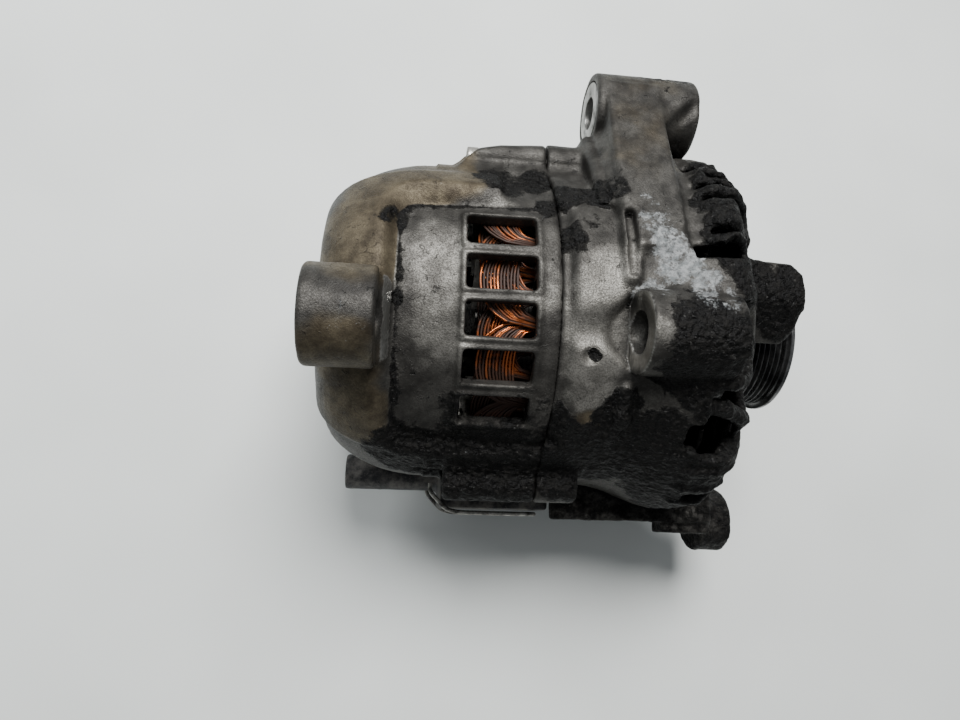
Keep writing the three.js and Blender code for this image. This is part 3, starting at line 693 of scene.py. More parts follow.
def rear_casting():
    """The rear bracket: the shell, ears, sleeve and cover posts, then the windows, bores and holes."""
    f = rear_shell()
    f.add(*[kept(ear) for ear in rear_ears()], fillet=4.0)
    f.add(kept(rear_sleeve()), fillet=3.0)
    f.add(*[tube(-73.7, -41, 3.9, y, z, 0.5) for y, z in COVER_POSTS], fillet=1.5)
    f.cut(*[window(middle) for middle in window_angles()], fillet=0.8)
    f.cut(*[arc(-46, -36, a - 15, a + 15, 24, 50, 3.0) for a in around(8, 22.5)])
    f.cut(tube(-90, -50, BOLT_HOLE, BOLT_Y, BOLT_Z, 0.2), fillet=1.2)
    f.cut(tube(-6, 2, 6.6, BOLT_Y, BOLT_Z, 0.2), fillet=1.4)
    f.cut(block((-6.5, 41, 50), (-1.5, 47.4, 60), 0.5))
    for angle, radial in EARS:
        y, z = polar(angle, radial)
        f.cut(tube(-40, 5, EAR["bolt"] + 0.3, y, z, 0.1))
        f.cut(tube(-46, EAR["seat"], HEAD_RADIUS + 0.6, y, z, 0.3), fillet=0.8)
    f.cut(*[tube(-80, -66, 2.3, y, z, 0.1) for y, z in COVER_POSTS])
    return f.surface()


def kept(field):
    """A finished field as a shape that can be added to another field on the same grid step."""
    low = [axis[0] for axis in field.axes]
    high = [axis[-1] for axis in field.axes]

    def distance(x, y, z):
        result = field.d
        for i, (values, axis) in enumerate(zip((x, y, z), field.axes)):
            place = np.interp(values.ravel(), axis, np.arange(len(axis)))
            cell = np.clip(place.astype(int), 0, len(axis) - 2)
            part = (place - cell).astype(np.float32).reshape(values.shape)
            result = result.take(cell, axis=i) * (1 - part) + result.take(cell + 1, axis=i) * part
        return result

    return Shape(low, high, distance)


VENT_ANGLES = [9.5, 39.5, 53.5, 270, 288] + [72 + 18 * i for i in range(10)]
HOLLOW = [(-5, 0), (-5, BORE), (27, BORE), (36, 63), (54, 69.6), (64, 69), (64, 0)]
NECK = [
    (88, 48.6), (74, 52), (53.5, 57.8), (31.6, 63.8), (22.8, 66.2), (12, 68.6), (6, 64), (40, 44), (60, 14),
    (78, 20), (94, 36),
]
NECK_FOOT = [(70, 38), (62, 44), (48, 53), (30, 60), (30, 50), (56, 20), (72, 22)]
PIT = np.array((11.0, *polar(-23.6, 66.6)))
FRONT_SPACE = (-0.6, -92, -79), (99, 100, 85), STEP


def limbs(places, radius):
    """Limbs of one radius from each place to the next."""
    return [limb(a, b, radius) for a, b in zip(places, places[1:])]


def front_shell():
    """The body of the front bracket: a plain band, the bell, and the bearing's hub on its spokes."""
    f = Field(*FRONT_SPACE)
    f.add(turned([
        (0.8, BORE), (0.8, 62), (0.1, 62.4), (0.1, 64.4), (0.6, 65), (4, 65.2), (20, 65.2), (26, 65.8),
        (33, 67.4), (40, 70), (47, 72.6), (53, 74), (59, 74), (65, 73.2), (68, 70.6), (71, 66.6),
        (73.6, 61.8), (76, 56), (78, 50), (79.4, 42), (79.4, 34), (77, 34), (74, 47), (67, 59.4),
        (60.6, 69.3), (54, 69.6), (45, 66.6), (36, 63), (27.3, BORE),
    ]))
    low_band = turned([(-1, 62), (3.2, 62), (6.4, 65.6), (6.4, 72), (-1, 72)])
    f.cut(between(low_band, -58, 27), fillet=1.6)
    f.cut(between(turned([(43, 69.2), (48, 69.8), (56, 75), (56, 80), (43, 80)]), 8, 54), fillet=1.6)
    groove = turned([(42, 69.4), (50, 70.2), (60, 69.8), (66, 64), (99, 40), (99, 95), (42, 95)])
    f.cut(*[between(groove, a - 1.2, a + 1.2, 1.0) for a in (15, 28, 34.5)], fillet=2.4)
    f.cut(*[arc(51, 99, a - 1.5, a + 1.5, 66, 90, 1.5) for a in (46.5, 62.5, 81, 99)], fillet=3.4)
    f.cut(arc(44.5, 60, 5.6, 10.4, 60, 90, 1.2), fillet=1.6)
    f.add(turned([(62, 23.8), (62, 29.5), (83, 29.5), (83, 16), (78.4, 16), (78.4, 23.8)]))
    spoke = [(68, 27), (63, 66), (74, 58), (78, 46), (82, 27)]
    f.add(*[plate(a, spoke, 9, 1.5) for a in around(5, 36)], fillet=3.0)
    open_bell(f)
    add_hook(f)
    f.cut(tube(-2, 26, 5.6, BOLT_Y, BOLT_Z, 0.1), fillet=4.0)
    f.cut(tube(2, 26, 6.0, BOLT_Y, BOLT_Z + 7.5, 0.1, end_radius=12.5), fillet=5.0)
    f.cut(dish(), fillet=3.0)
    return f


def open_bell(f):
    """Cuts the bell's slots and its wide opening, leans its face back and adds ribs over its rim."""
    slot = [(56, 41), (56, 90), (99, 90), (99, 41)]
    f.cut(*[plate(a, slot, 5.2, 1.0) for a in VENT_ANGLES], fillet=1.2)
    f.cut(arc(52, 99, -52, -30, 44, 90, 3.0), arc(46.5, 99, -50, -41, 60, 90, 3.0), fillet=1.8)
    f.cut(arc(77.4, 99, -8, 70, 33, 90, 0.6))
    leaning = [(60, 77), (66.4, 66.4), (70, 60), (75, 50), (79, 42), (99, 42), (99, 90), (60, 90)]
    f.cut(between(turned(leaning), -52, 26), fillet=3.0)
    rim = [(48, 69), (52, 75.0), (62, 75.4), (69, 71.0), (74.5, 61.5), (70, 58), (60, 68)]
    f.add(*[plate(a, rim, 2.6, 1.0) for a in (-57, -66, -75)], fillet=2.4)


def add_hook(f):
    """Adds the broken bar that hooks over the wide opening."""
    elbow = (69.5, *polar(-42.5, 63.0))
    hook = [(47.0, *polar(-35.5, 70.0)), (59.0, *polar(-36.8, 68.2)), elbow]
    f.add(*limbs(hook, 2.9), fillet=2.0)
    f.add(limb(elbow, (69.5, *polar(-52.0, 61.5)), 2.4, 0.9), fillet=1.0)
    f.add(limb(elbow, (77.5, *polar(-46.0, 42.5)), 1.8, 2.2), fillet=1.5)


def dish():
    """The hollow in the plain band that leaves the near boss's face clear."""
    cone = tube(13, 26, 3.0, BOLT_Y, BOLT_Z, 0.1, end_radius=14.6)
    floor = 61.2

    def distance(x, y, z):
        return np.maximum(cone.distance(x, y, z), floor - np.hypot(y, z))

    return Shape(cone.low, cone.high, distance)


def near_boss():
    """The boss that the pivot bolt is clamped against, with the metal under it."""
    f = Field((-0.6, -40, 36), (62, 4, 85), STEP)
    f.add(tube(25.4, 57.5, 14.5, BOLT_Y, BOLT_Z, 1.2))
    f.add(plate(BOLT_ANGLE, [(25.4, 60), (25.4, 67), (57, 67), (57, 60)], 26, 1.0), fillet=3.0)
    f.cut(turned(HOLLOW))
    return f


def lugs_and_ears():
    """What stands on the shell: the near boss's base, the upper lug, the lower flange and the ears."""
    f = Field(*FRONT_SPACE)
    f.add(plate(BOLT_ANGLE, [(32, 60), (36, 70), (50, 73), (60, 67), (60, 58)], 34, 5.0), fillet=6.0)
    lug = UPPER_LUG
    f.add(slab(21.5, 43.6, NECK, 1.8))
    f.add(slab(14, 50, NECK_FOOT, 3.0), fillet=7.0)
    f.add(tube(lug["from"], lug["to"], lug["radius"], lug["y"], lug["z"], 1.8), fillet=1.2)
    f.add(limb((40, 72, 47), (55, 84, 45.5), 4.6, 3.4), fillet=3.0)
    f.cut(limb((46.5, 66.5, 47.5), (58, 80.5, 51), 3.4, 2.6), fillet=1.6)
    for angle, radial in EARS:
        f.add(tab(angle, 58, 14, radial, EAR["radius"], 0.2, EAR["to"]), fillet=3.0)
    f.add(block((13, -79.5, -17), (84, -50, -12), 1.0), fillet=1.5)
    f.add(block((62, -84, -26), (84, -50, -14), 1.0), fillet=2.0)
    f.add(arc(20.5, 27.5, -2, 25, BORE, 67.6, 3.0), fillet=3.0)
    f.cut(arc(22.4, 25.6, 1, 22, 66.3, 72, 1.2), fillet=1.6)
    ridge = [(24.5, *polar(-33.5, 65.5)), (24.3, *polar(-42.0, 66.4)), (21.6, *polar(-51.0, 64.6))]
    f.add(*limbs(ridge, 2.6), fillet=4.0)
    f.cut(turned(HOLLOW))
    return f


def snout():
    """The stub over the pulley: flat on top, with one edge bevelled away and rounded corners."""
    outline = [(66, -13), (92, -13), (96.6, -7), (97, 0), (96.8, 12), (92, 16.6), (66, 17.5)]
    low, high = 35.6, 50
    run, rise = 14, 13

    def distance(x, y, z):
        body = rounded(outline_distance(outline, x, y), np.maximum(z - high, low - z), 1.8)
        bevel = ((z - high) * run - (y - 2) * rise) / math.hypot(run, rise)
        return rounded(body, bevel, 2.2)

    xs, ys = zip(*outline)
    return Shape((min(xs), min(ys), low), (max(xs), max(ys), high), distance)


def front_casting():
    """The front bracket: the shell with everything that stands on it, then the bores and holes."""
    lug, foot = UPPER_LUG, FOOT_LUG
    f = front_shell()
    f.add(kept(lugs_and_ears()), fillet=1.8)
    f.add(kept(near_boss()), fillet=1.2)
    shelf = [(52, 51), (52, 68), (64, 67), (70, 58), (75, 49), (71, 47)]
    f.add(plate(BOLT_ANGLE, shelf, 34, 2.0), fillet=3.0)
    f.cut(tube(57.5, 110, 12.4, BOLT_Y, BOLT_Z, 1.0), fillet=2.0)
    f.add(tube(foot["from"], foot["to"], foot["radius"], foot["y"], foot["z"], 1.8), fillet=2.0)
    web = [(44, 62), (62, 73), (82, 78.6), (85, 85), (93.5, 85), (84, 66), (72, 58)]
    f.add(plate(math.degrees(math.atan2(foot["y"], foot["z"])), web, 20, 2.0), fillet=4.0)
    f.add(snout(), fillet=3.0)
    f.cut(tube(24, 59, BOLT_HOLE, BOLT_Y, BOLT_Z, 0.1), fillet=0.8)
    f.cut(tube(25.3, 29, 7.6, BOLT_Y, BOLT_Z, 0.1, end_radius=BOLT_HOLE), fillet=0.5)
    f.cut(tube(17.6, 38.6, lug["bore"], lug["y"], lug["z"], 0.1))
    f.cut(tube(28, 64, lug["hole"], lug["y"], lug["z"], 0.1))
    f.cut(tube(82, 104, foot["hole"], foot["y"], foot["z"], 0.1), fillet=0.6)
    for angle, radial in EARS:
        f.cut(tube(-1, 14, EAR["bolt"] + 0.3, *polar(angle, radial), 0.1))
    for angle in around(3, 40):
        f.cut(tube(60, 68, 2.2, *polar(angle, 26.6), 0.1))
    f.cut(tube(85, 98, 3.4, 5, 41, 0.1), fillet=0.5)
    f.cut(limb(PIT, PIT + 0.4, 3.2), fillet=1.0)
    return f.surface()


def spread_patches(points, places):
    """How strongly each point lies in soft patches of (x, angle, reach, strength) laid on the body."""
    angles = np.degrees(np.arctan2(points[:, 1], points[:, 2]))
    mm_per_degree = 1.1
    total = np.zeros(len(points), np.float32)
    for x, angle, reach, strength in places:
        turn = (angles - angle + 180) % 360 - 180
        away = np.hypot(points[:, 0] - x, turn * mm_per_degree)
        total = np.maximum(total, strength * (1 - step_up(away, reach * 0.45, reach)))
    return total


def recess_floor(points):
    """1 on the recess's floor, and how far each point of it lies from the foot of the wall."""
    x, y, z = points.T
    above = above_recess(x, np.hypot(y, z))
    back = x - RECESS["from"]
    side = inside_recess(np.arctan2(y, z))
    corner = RECESS["corner"]
    foot = corner - np.hypot(np.maximum(corner - back, 0), np.maximum(corner - side, 0))
    foot = np.minimum(foot, np.minimum(back, side))
    floor = (1 - step_up(above, 0.8, 2.4)) * step_up(foot, -0.5, 1.0) * (x < RECESS["to"])
    return floor, foot


def dirt_masks(points, hollow, bright, patches):
    """The masks that the cast metal reads: where it is hollow, machined, dirty, filmed, pale or sandy, with
    painted shade along the foot of the recess wall and in the pit, and darker towards the underside.
    """
    ragged = rough_bumps(points, 13, 5)
    masks = {"hollow": hollow, "bright": bright}
    for i, (key, places) in enumerate(patches.items()):
        spread = spread_patches(points + 4 * ragged[:, None], places)
        masks[key] = spread + 0.22 * rough_bumps(points, 9, 40 + i)
    floor, foot = recess_floor(points)
    # Along the foot of the recess wall the floor gets a dark band of dirt and painted shade, and its sandy,
    # clean metal is held back there.
    wall_foot_dirt_and_shade = 1 - step_up(foot, 0.5, 6.0 + 2 * ragged)
    masks["film"] = masks["film"] * (1 - floor)
    masks["grime"] = masks["grime"] * (1 - 0.4 * floor) + floor * wall_foot_dirt_and_shade * 0.62
    masks["sandy"] = masks["sandy"] * (1 - 0.8 * floor * (1 - step_up(foot, 2, 15)))
    clean = spread_patches(points + 3 * ragged[:, None], patches["sandy"])
    clean = clean * (1 - floor * (1 - step_up(foot, 1, 9)))
    # The metal is darker towards its underside: the grime mask rises to 0.6 from Z = 30 down to Z = -30.
    under = 0.6 * (1 - step_up(points[:, 2], -30, 30))
    # The pit is painted black: painted shade of a deep pit, over the shallow dimple cut there.
    pit = 1 - step_up(np.linalg.norm(points - PIT, axis=1), 2.8, 4.6)
    masks["grime"] = np.clip(np.maximum(masks["grime"], under) - 0.9 * clean + pit, 0, 1.2)
    return masks


def crusted(points, normals, masks):
    """The points lifted by caked dirt, and by the slight unevenness of a cast face."""
    soil = masks["grime"] + step_up(masks["hollow"], 0.1, 0.6) * 0.3 + 0.3 * rough_bumps(points, 6, 52)
    caked = step_up(soil, 0.35, 0.8)
    lumps = np.maximum(rough_bumps(points, 3.4, 21), -0.2) * 0.75
    grains = np.maximum(rough_bumps(points, 1.9, 27), 0) * 0.4
    wander = 0.16 * rough_bumps(points, 8, 31)
    lift = ((lumps + grains) * caked + wander) * (1 - masks["bright"])
    return points + normals * lift[:, None]


def finish_casting(name, part, surface, patches, *ring):
    """Turns a casting's surface into a piece for a part, and paints and roughens it with its dirt, whose
    masks also hold painted shade.
    """
    mesh = build_mesh(name, *surface)
    points, normals = of_points(mesh, "co"), of_points(mesh, "normal")
    masks = dirt_masks(points, hollows(mesh), ring_face(points, normals, *ring), patches)
    moved = crusted(points, normals, masks)
    mesh.vertices.foreach_set("co", moved.astype(np.float32).ravel())
    mesh.update()
    for key, values in masks.items():
        paint(mesh, key, np.clip(values, -1, 1.5))
    as_piece(name, mesh, CAST_METAL, "housing", name, part)


def ring_face(points, normals, x, outer, facing):
    """1 on the machined ring round the pivot bolt's hole, at an X, that faces along or against X."""
    radius = np.hypot(points[:, 1] - BOLT_Y, points[:, 2] - BOLT_Z)
    inner, depth = 5, 1.2
    near = (np.abs(points[:, 0] - x) < depth) & (radius > inner) & (radius < outer)
    return (near & (normals[:, 0] * facing > 0.6)).astype(np.float32)


CAST_METAL = cast_metal()
# Where each kind of dirt or wear lies on a casting: X, angle round the axis, reach and strength.
REAR_PATCHES = {
    "grime": [
        (-45, -68, 24, 1.1), (-15, -64, 26, 1.1), (-52, -66, 20, 1.0), (-30, -52, 14, 0.8),
        (-19, 41, 14, 0.7), (-6, 44, 11, 1.0), (-4, -46, 16, 0.9), (-2, 28, 7, 0.8), (-56, -10, 4, 0.7),
        (-48, -38, 12, 0.55), (-56, 20, 7, 0.6), (-10, -75, 30, 1.0), (-34, -44, 10, 0.9),
        (-29, -33, 5, 0.6),
    ],
    "film": [(-70, 12, 30, 1.0), (-56, 34, 26, 1.0), (-36, 42, 18, 0.9), (-75, -30, 22, 0.7),
             (-68, -50, 20, 0.7), (-40, 62, 24, 0.7)],
    "bloom": [(-70, -18, 8, 0.35), (-6, 62, 8, 0.3)],
    "sandy": [(-44, 6, 22, 1.0), (-40, -16, 20, 1.0), (-6, -4, 14, 0.7), (-20, 27, 8, 0.6)],
}
FRONT_PATCHES = {
    "grime": [
        (46, -20, 22, 1.1), (66, -30, 24, 1.1), (40, -56, 26, 1.1), (14, -62, 26, 1.1), (22, -42, 12, 0.9),
        (66, 10, 24, 1.1), (70, 40, 26, 1.0), (5, 32, 9, 1.0), (15, 31, 8, 0.9), (22, 30, 6, 0.6),
        (12, 20, 6, 0.4), (56, 16, 12, 0.9), (58, 36, 12, 0.9), (53, 26, 9, 0.8), (92, 0, 24, 1.1),
        # The patch at X 11.8 and -24 degrees paints the pit dark: painted shade of a deep pit.
        (60, -70, 34, 1.1), (4, -46, 12, 0.9), (11.8, -24, 4.5, 1.1), (54, 24, 10, 0.8),
        (85, -60, 40, 0.75), (46, 76, 24, 0.5), (4, 14, 9, 0.7),
    ],
    "film": [(34, 46, 22, 0.35), (40, 66, 30, 0.3), (12, -48, 12, 0.8)],
    "bloom": [(33, 17, 9, 1.0), (38, 4, 10, 1.2), (46, -3, 7, 1.0), (36, 11, 10, 1.1), (31, 26, 6, 0.6),
              (30, -3, 6, 0.9), (54, -6, 5, 0.6)],
    "sandy": [(14, -4, 15, 0.85), (12, -14, 17, 1.1), (12, -24, 14, 1.0), (12, -34, 10, 0.7),
              (19, 6, 11, 0.6), (27, -15, 5, 0.6)],
}
finish_casting("rear_casting", "rear_bracket", rear_casting(), REAR_PATCHES, -58, 16, 1)
finish_casting("front_casting", "front_bracket", front_casting(), FRONT_PATCHES, 25.4, 14, -1)


# -------- swept, turned and cut pieces
def lathe(profile, x0=0.0, y=0.0, z=0.0, facets=72):
    """Points and quads of a ring turned about a line along X, from a closed [x, radius] outline."""
    turns = np.linspace(0, 2 * math.pi, facets, endpoint=False)
    xs, rs = np.array(profile, float).T
    points = np.stack([
        np.broadcast_to(xs + x0, (facets, len(xs))),
        y + np.outer(np.sin(turns), rs),
        z + np.outer(np.cos(turns), rs),
    ], 2).reshape(-1, 3)
    i, j = np.meshgrid(np.arange(facets), np.arange(len(xs)), indexing="ij")
    ni, nj = (i + 1) % facets, (j + 1) % len(xs)
    n = len(xs)
    quads = np.stack([i * n + j, ni * n + j, ni * n + nj, i * n + nj], 2).reshape(-1, 4)
    return points, quads


EASED_STEPS = 3
CURVE_STEPS = 8
END_SIZE = 0.001


def eased(profile, radius):
    """The same closed outline with each corner rounded a little."""
    done = []
    corners = [Vector(p) for p in profile]
    for before, corner, after in zip(corners[-1:] + corners[:-1], corners, corners[1:] + corners[:1]):
        back, ahead = before - corner, after - corner
        reach = min(radius, back.length * 0.45, ahead.length * 0.45)
        start, end = corner + back.normalized() * reach, corner + ahead.normalized() * reach
        for k in range(EASED_STEPS + 1):
            t = k / EASED_STEPS
            done.append(tuple(start * (1 - t) ** 2 + corner * 2 * t * (1 - t) + end * t * t))
    return done


def sweep(path, radius, sides):
    """Points and quads of a round wire along a list of points, drawn in to almost a point at its ends."""
    path = np.asarray(path, float)
    ahead = np.gradient(path, axis=0)
    ahead /= np.linalg.norm(ahead, axis=1)[:, None]
    side = np.cross(ahead, path * (0, 1, 1))
    side /= np.maximum(np.linalg.norm(side, axis=1), 1e-6)[:, None]
    up = np.cross(side, ahead)
    turns = np.linspace(0, 2 * math.pi, sides, endpoint=False)[None, :, None]
    rings = path[:, None] + radius * (side[:, None] * np.cos(turns) + up[:, None] * np.sin(turns))
    near = path[:1, None] * (1 - END_SIZE) + rings[:1] * END_SIZE
    far = path[-1:, None] * (1 - END_SIZE) + rings[-1:] * END_SIZE
    rings = np.concatenate([near, rings, far])
    rows = len(rings)
    i, j = np.meshgrid(np.arange(rows - 1), np.arange(sides), indexing="ij")
    nj = (j + 1) % sides
    quads = np.stack([i * sides + j, i * sides + nj, (i + 1) * sides + nj, (i + 1) * sides + j], 2)
    return rings.reshape(-1, 3), quads.reshape(-1, 4)


def gathered(parts):
    """Several sets of points and quads as one."""
    points, quads, first = [], [], 0
    for p, q in parts:
        points.append(p)
        quads.append(q + first)
        first += len(p)
    return np.concatenate(points), np.concatenate(quads)


def smooth_path(corners):
    """Points on a smooth curve through a short list of points."""
    c = np.array([corners[0], *corners, corners[-1]], float)
    path = []
    for a, b, e, d in zip(c, c[1:], c[2:], c[3:]):
        for t in np.arange(CURVE_STEPS) / CURVE_STEPS:
            path.append(0.5 * (2 * b + (e - a) * t + (2 * a - 5 * b + 4 * e - d) * t * t
                               + (3 * b - a - 3 * e + d) * t**3))
    path.append(c[-1])
    return np.array(path)


def hexagon(x0, x1, across, y=0.0, z=0.0, edge=0.3):
    """A six-sided bar along X, with its end corners turned off round the flats."""
    cone_slope, cone_radius = 1.7, 0.54 * across

    def distance(x, y_, z_):
        dy, dz = y_ - y, z_ - z
        side = -across
        for angle in np.radians((0, 60, 120)):
            side = np.maximum(side, np.abs(dy * math.sin(angle) + dz * math.cos(angle)) - across / 2)
        end = beyond(x, x0, x1)
        cone = (np.hypot(dy, dz) + end * cone_slope - cone_radius) / 2
        return np.maximum(rounded(side, end, edge), cone)

    reach = across * 0.6
    return Shape((x0, y - reach, z - reach), (x1, y + reach, z + reach), distance)


# -------- materials of the other pieces
def worn_metal(name, dark, light, rough, grime, size, marks_along=1):
    """Bare or plated metal with old dirt on it, and fine scratches, or turning marks about X."""
    p = Paint(name)
    cloud = p.noise(size, 4.0, 0.6)
    marks = p.noise(0.5, 2.0, 0.5, (1, marks_along, marks_along))
    dirt = p.range(p.noise(size * 1.7, 5.0, 0.68), 0.62 - grime * 0.4, 0.80 - grime * 0.2)
    color = p.mix(p.range(cloud, 0.3, 0.7), dark, light)
    color = p.mix(dirt, color, (0.022, 0.019, 0.016))
    roughness = p.blend(dirt, p.range(marks, 0.3, 0.7, *rough), 0.75)
    p.bump(p.add(marks, p.times(dirt, 1.5)), 0.03, 0.6)
    return p.finish(color, roughness, p.blend(dirt, 0.92, 0.1))


def moulded(name, color, dust, rough=0.45):
    """Moulded plastic with a fine grain, under a broken film of pale dust."""
    p = Paint(name)
    p.shader.inputs["Specular IOR Level"].default_value = 0.3
    grain = p.noise(0.35, 2.0, 0.5)
    cover = p.range(p.noise(7.0, 5.0, 0.65), 0.66 - dust * 0.5, 0.86 - dust * 0.3)
    speck = p.range(p.noise(1.1, 3.0, 0.7), 0.5, 0.72)
    dusty = p.sum("MAXIMUM", cover, p.times(speck, dust))
    shade = p.mix(dusty, color, (0.17, 0.16, 0.145))
    p.bump(p.add(grain, p.times(speck, 1.2)), 0.05, 0.5)
    satin = p.range(grain, 0.3, 0.7, rough - 0.06, rough + 0.06)
    return p.finish(shade, p.blend(dusty, satin, 0.85), 0.0)


def enamelled_wire():
    """Enamelled copper, bright on some turns and sooty on others, and darker on the wires of the lower
    windows.
    """
    p = Paint("enamelled_wire")
    turn = p.value("turn")
    # Random soot, more on the darker turns, and the darkening stored on the wires of the lower windows.
    darkening = p.add(p.noise(9.0, 4.0, 0.6), p.times(turn, 0.3))
    darkening = p.range(p.add(darkening, p.times(p.value("darkening"), 0.45)), 0.46, 0.70)
    color = p.mix(turn, (0.56, 0.165, 0.05), (0.28, 0.072, 0.024))
    color = p.mix(p.times(darkening, 0.95), color, (0.018, 0.011, 0.008))
    p.bump(p.noise(0.4, 2.0), 0.02, 0.4)
    return p.finish(color, p.blend(darkening, 0.24, 0.6), p.blend(darkening, 0.95, 0.2))


def stacked_sheets():
    """Dark steel sheets stacked along X, with faint rust."""
    p = Paint("stacked_sheets")
    edge = p.noise(0.5, 1.0, 0.4, (1, 0.02, 0.02))
    rust = p.range(p.noise(5.0, 5.0, 0.65), 0.5, 0.75)
    color = p.mix(p.range(edge, 0.4, 0.6), (0.06, 0.055, 0.05), (0.16, 0.15, 0.14))
    color = p.mix(rust, color, (0.12, 0.055, 0.03))
    p.bump(edge, 0.12, 0.7)
    return p.finish(color, p.blend(rust, 0.45, 0.8), p.blend(rust, 0.8, 0.1))


def carbon_block():
    """Dark pressed carbon, streaked along Z by the holder it slides in."""
    p = Paint("carbon_block")
    grain = p.noise(0.25, 3.0, 0.6)
    streak = p.noise(0.6, 2.0, 0.5, (1, 1, 0.08))
    color = p.mix(p.range(p.add(grain, streak), 0.8, 1.2), (0.018, 0.018, 0.02), (0.07, 0.07, 0.075))
    p.bump(grain, 0.03, 0.6)
    return p.finish(color, p.range(streak, 0.3, 0.7, 0.45, 0.7), 0.0)


# Each metal's dark and light shade, range of roughness, amount of dirt and size of its clouds, and, where
# it is turned, how much its marks are stretched round X.
METALS = {
    "ground_steel": ((0.50, 0.50, 0.49), (0.68, 0.68, 0.66), (0.16, 0.34), 0.15, 5.0, 0.05),
    "turned_steel": ((0.42, 0.42, 0.41), (0.62, 0.61, 0.59), (0.2, 0.4), 0.35, 3.0, 0.03),
    "bush_steel": ((0.22, 0.22, 0.21), (0.36, 0.355, 0.34), (0.34, 0.55), 0.35, 5.0, 0.05),
    "plated_steel": ((0.30, 0.29, 0.26), (0.48, 0.47, 0.43), (0.3, 0.55), 0.6, 3.0),
    "belt_steel": ((0.05, 0.051, 0.052), (0.19, 0.19, 0.188), (0.22, 0.42), 0.3, 6.0, 0.04),
    "ring_copper": ((0.55, 0.26, 0.13), (0.75, 0.42, 0.24), (0.18, 0.32), 0.2, 3.0, 0.03),
    "sheet_aluminium": ((0.45, 0.45, 0.44), (0.62, 0.62, 0.60), (0.3, 0.45), 0.3, 7.0),
    "nickel_can": ((0.30, 0.29, 0.27), (0.42, 0.41, 0.39), (0.25, 0.4), 0.35, 3.0),
    "tinned_brass": ((0.52, 0.44, 0.22), (0.70, 0.62, 0.40), (0.2, 0.35), 0.15, 2.0),
}
GROUND, TURNED, BUSH_STEEL, PLATED, DARK_STEEL, RING_COPPER, SHEET, NICKEL, BRASS = [
    worn_metal(name, *look) for name, look in METALS.items()
]
BLACK_PLASTIC = moulded("black_moulding", (0.016, 0.016, 0.018), 0.28)
GREY_PLASTIC = moulded("dusty_moulding", (0.018, 0.018, 0.019), 0.55, 0.5)
WIRE = enamelled_wire()
SHEETS = stacked_sheets()
CARBON = carbon_block()

# Parts whose CAD solids are shown as they are, with a finish of their own.
CARRIED_OVER = {
    GROUND: ["front_bearing_outer_race", "front_bearing_inner_race", "rear_bearing_outer_race",
             "rear_bearing_inner_race"],
    PLATED: ["shaft_collar", "bearing_retainer", "retainer_screw_1", "retainer_screw_2", "retainer_screw_3",
             "front_fan", "rear_fan"],
    RING_COPPER: ["outer_slip_ring", "inner_slip_ring"],
    SHEET: ["positive_plate", "negative_plate"],
    NICKEL: [f"{side}_diode_{i}" for side in ("positive", "negative") for i in (1, 2, 3)],
    BRASS: [f"connector_pin_{i}" for i in (1, 2, 3, 4)],
    BLACK_PLASTIC: ["slip_ring_sleeve", "brush_holder", "voltage_regulator"],
    SHEETS: ["stator_core", "rear_claw_pole", "front_claw_pole"],
    CARBON: ["outer_brush", "inner_brush"],
    WIRE: ["field_coil"],
}
for finish, names in CARRIED_OVER.items():
    for name in names:
        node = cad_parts[name]
        node.data.materials.clear()
        node.data.materials.append(finish)


# -------- windings
WIRE_RADIUS = 0.47
POLE_PITCH = 30.0
BOW_POWER = 2.3


def hairpin(middle, half, rise, low, radius, rng):
    """One wire that leaves a slot, bows over and returns into a slot one pole further round."""
    u = np.linspace(-1, 1, 17)
    bow = (1 - np.abs(u) ** BOW_POWER) ** (1 / BOW_POWER)
    x = low + rise * bow
    angle = np.radians(middle + half * u + rng.normal(0, 0.35) * bow)
    r = radius + 0.5 * bow - 0.9 * u + 0.25 * np.sin(u * 3 + rng.uniform(0, 6))
    return np.stack([x, r * np.sin(angle), r * np.cos(angle)], 1)


def end_winding(name, start_x, reach, seed):
    """The loops of wire that stand out of one face of the stator, in three rings one inside another."""
    rng = np.random.default_rng(seed)
    parts, shades = [], []
    per_loop = 12
    for phase, radius in enumerate((55.6, 53.2, 50.9)):
        for middle in around(12, phase * 10.0):
            for k in range(per_loop):
                share = k / (per_loop - 1)
                rise = reach * (0.34 + 0.60 * share)
                half = POLE_PITCH / 2 - 1.6 + 3.0 * share
                low = start_x - math.copysign(0.8, reach)
                parts.append(sweep(hairpin(middle, half, rise, low, radius, rng), WIRE_RADIUS, 5))
                shades.append(np.full(len(parts[-1][0]), rng.uniform(0, 1)))
    mesh = build_mesh(name, *gathered(parts))
    y, z = of_points(mesh, "co").T[1:]
    paint(mesh, "turn", np.concatenate(shades))
    # The wires are darker below about -30 degrees round the axis, in the lower windows.
    paint(mesh, "darkening", step_up(-np.degrees(np.arctan2(y, z)), 30, 42))
    as_piece(name, mesh, WIRE, "housing", "winding_wire", name)


end_winding("rear_winding", -7.3, -21.5, 3)
end_winding("front_winding", 27.3, 19.5, 4)


# -------- pulley, shaft and nut
def pulley():
    ribs, first, last, crest, root = 6, 87.8, 101.4, 28.4, 25.2
    profile = [(85.8, 8.8), (85.8, 26.6), (86.4, 29.6), (87.0, 30.0), (87.5, 29.6)]
    for x in np.linspace(first, last, 18 * ribs + 1):
        wave = abs(((x - first) / (last - first) * ribs) % 1 * 2 - 1)
        profile.append((x, root + (crest - root) * min(max((wave - 0.12) * 1.22, 0), 0.93)))
    lip = [(101.6, 28.4), (101.9, 30.4), (103.6, 30.4), (103.6, 27.6), (102.9, 24.4), (98, 22), (98, 8.8)]
    profile += eased(lip, 0.5)[4:-4] + lip[-2:]
    stand_in("pulley", lathe(profile, facets=120), DARK_STEEL, "rotor", "pulley_steel")


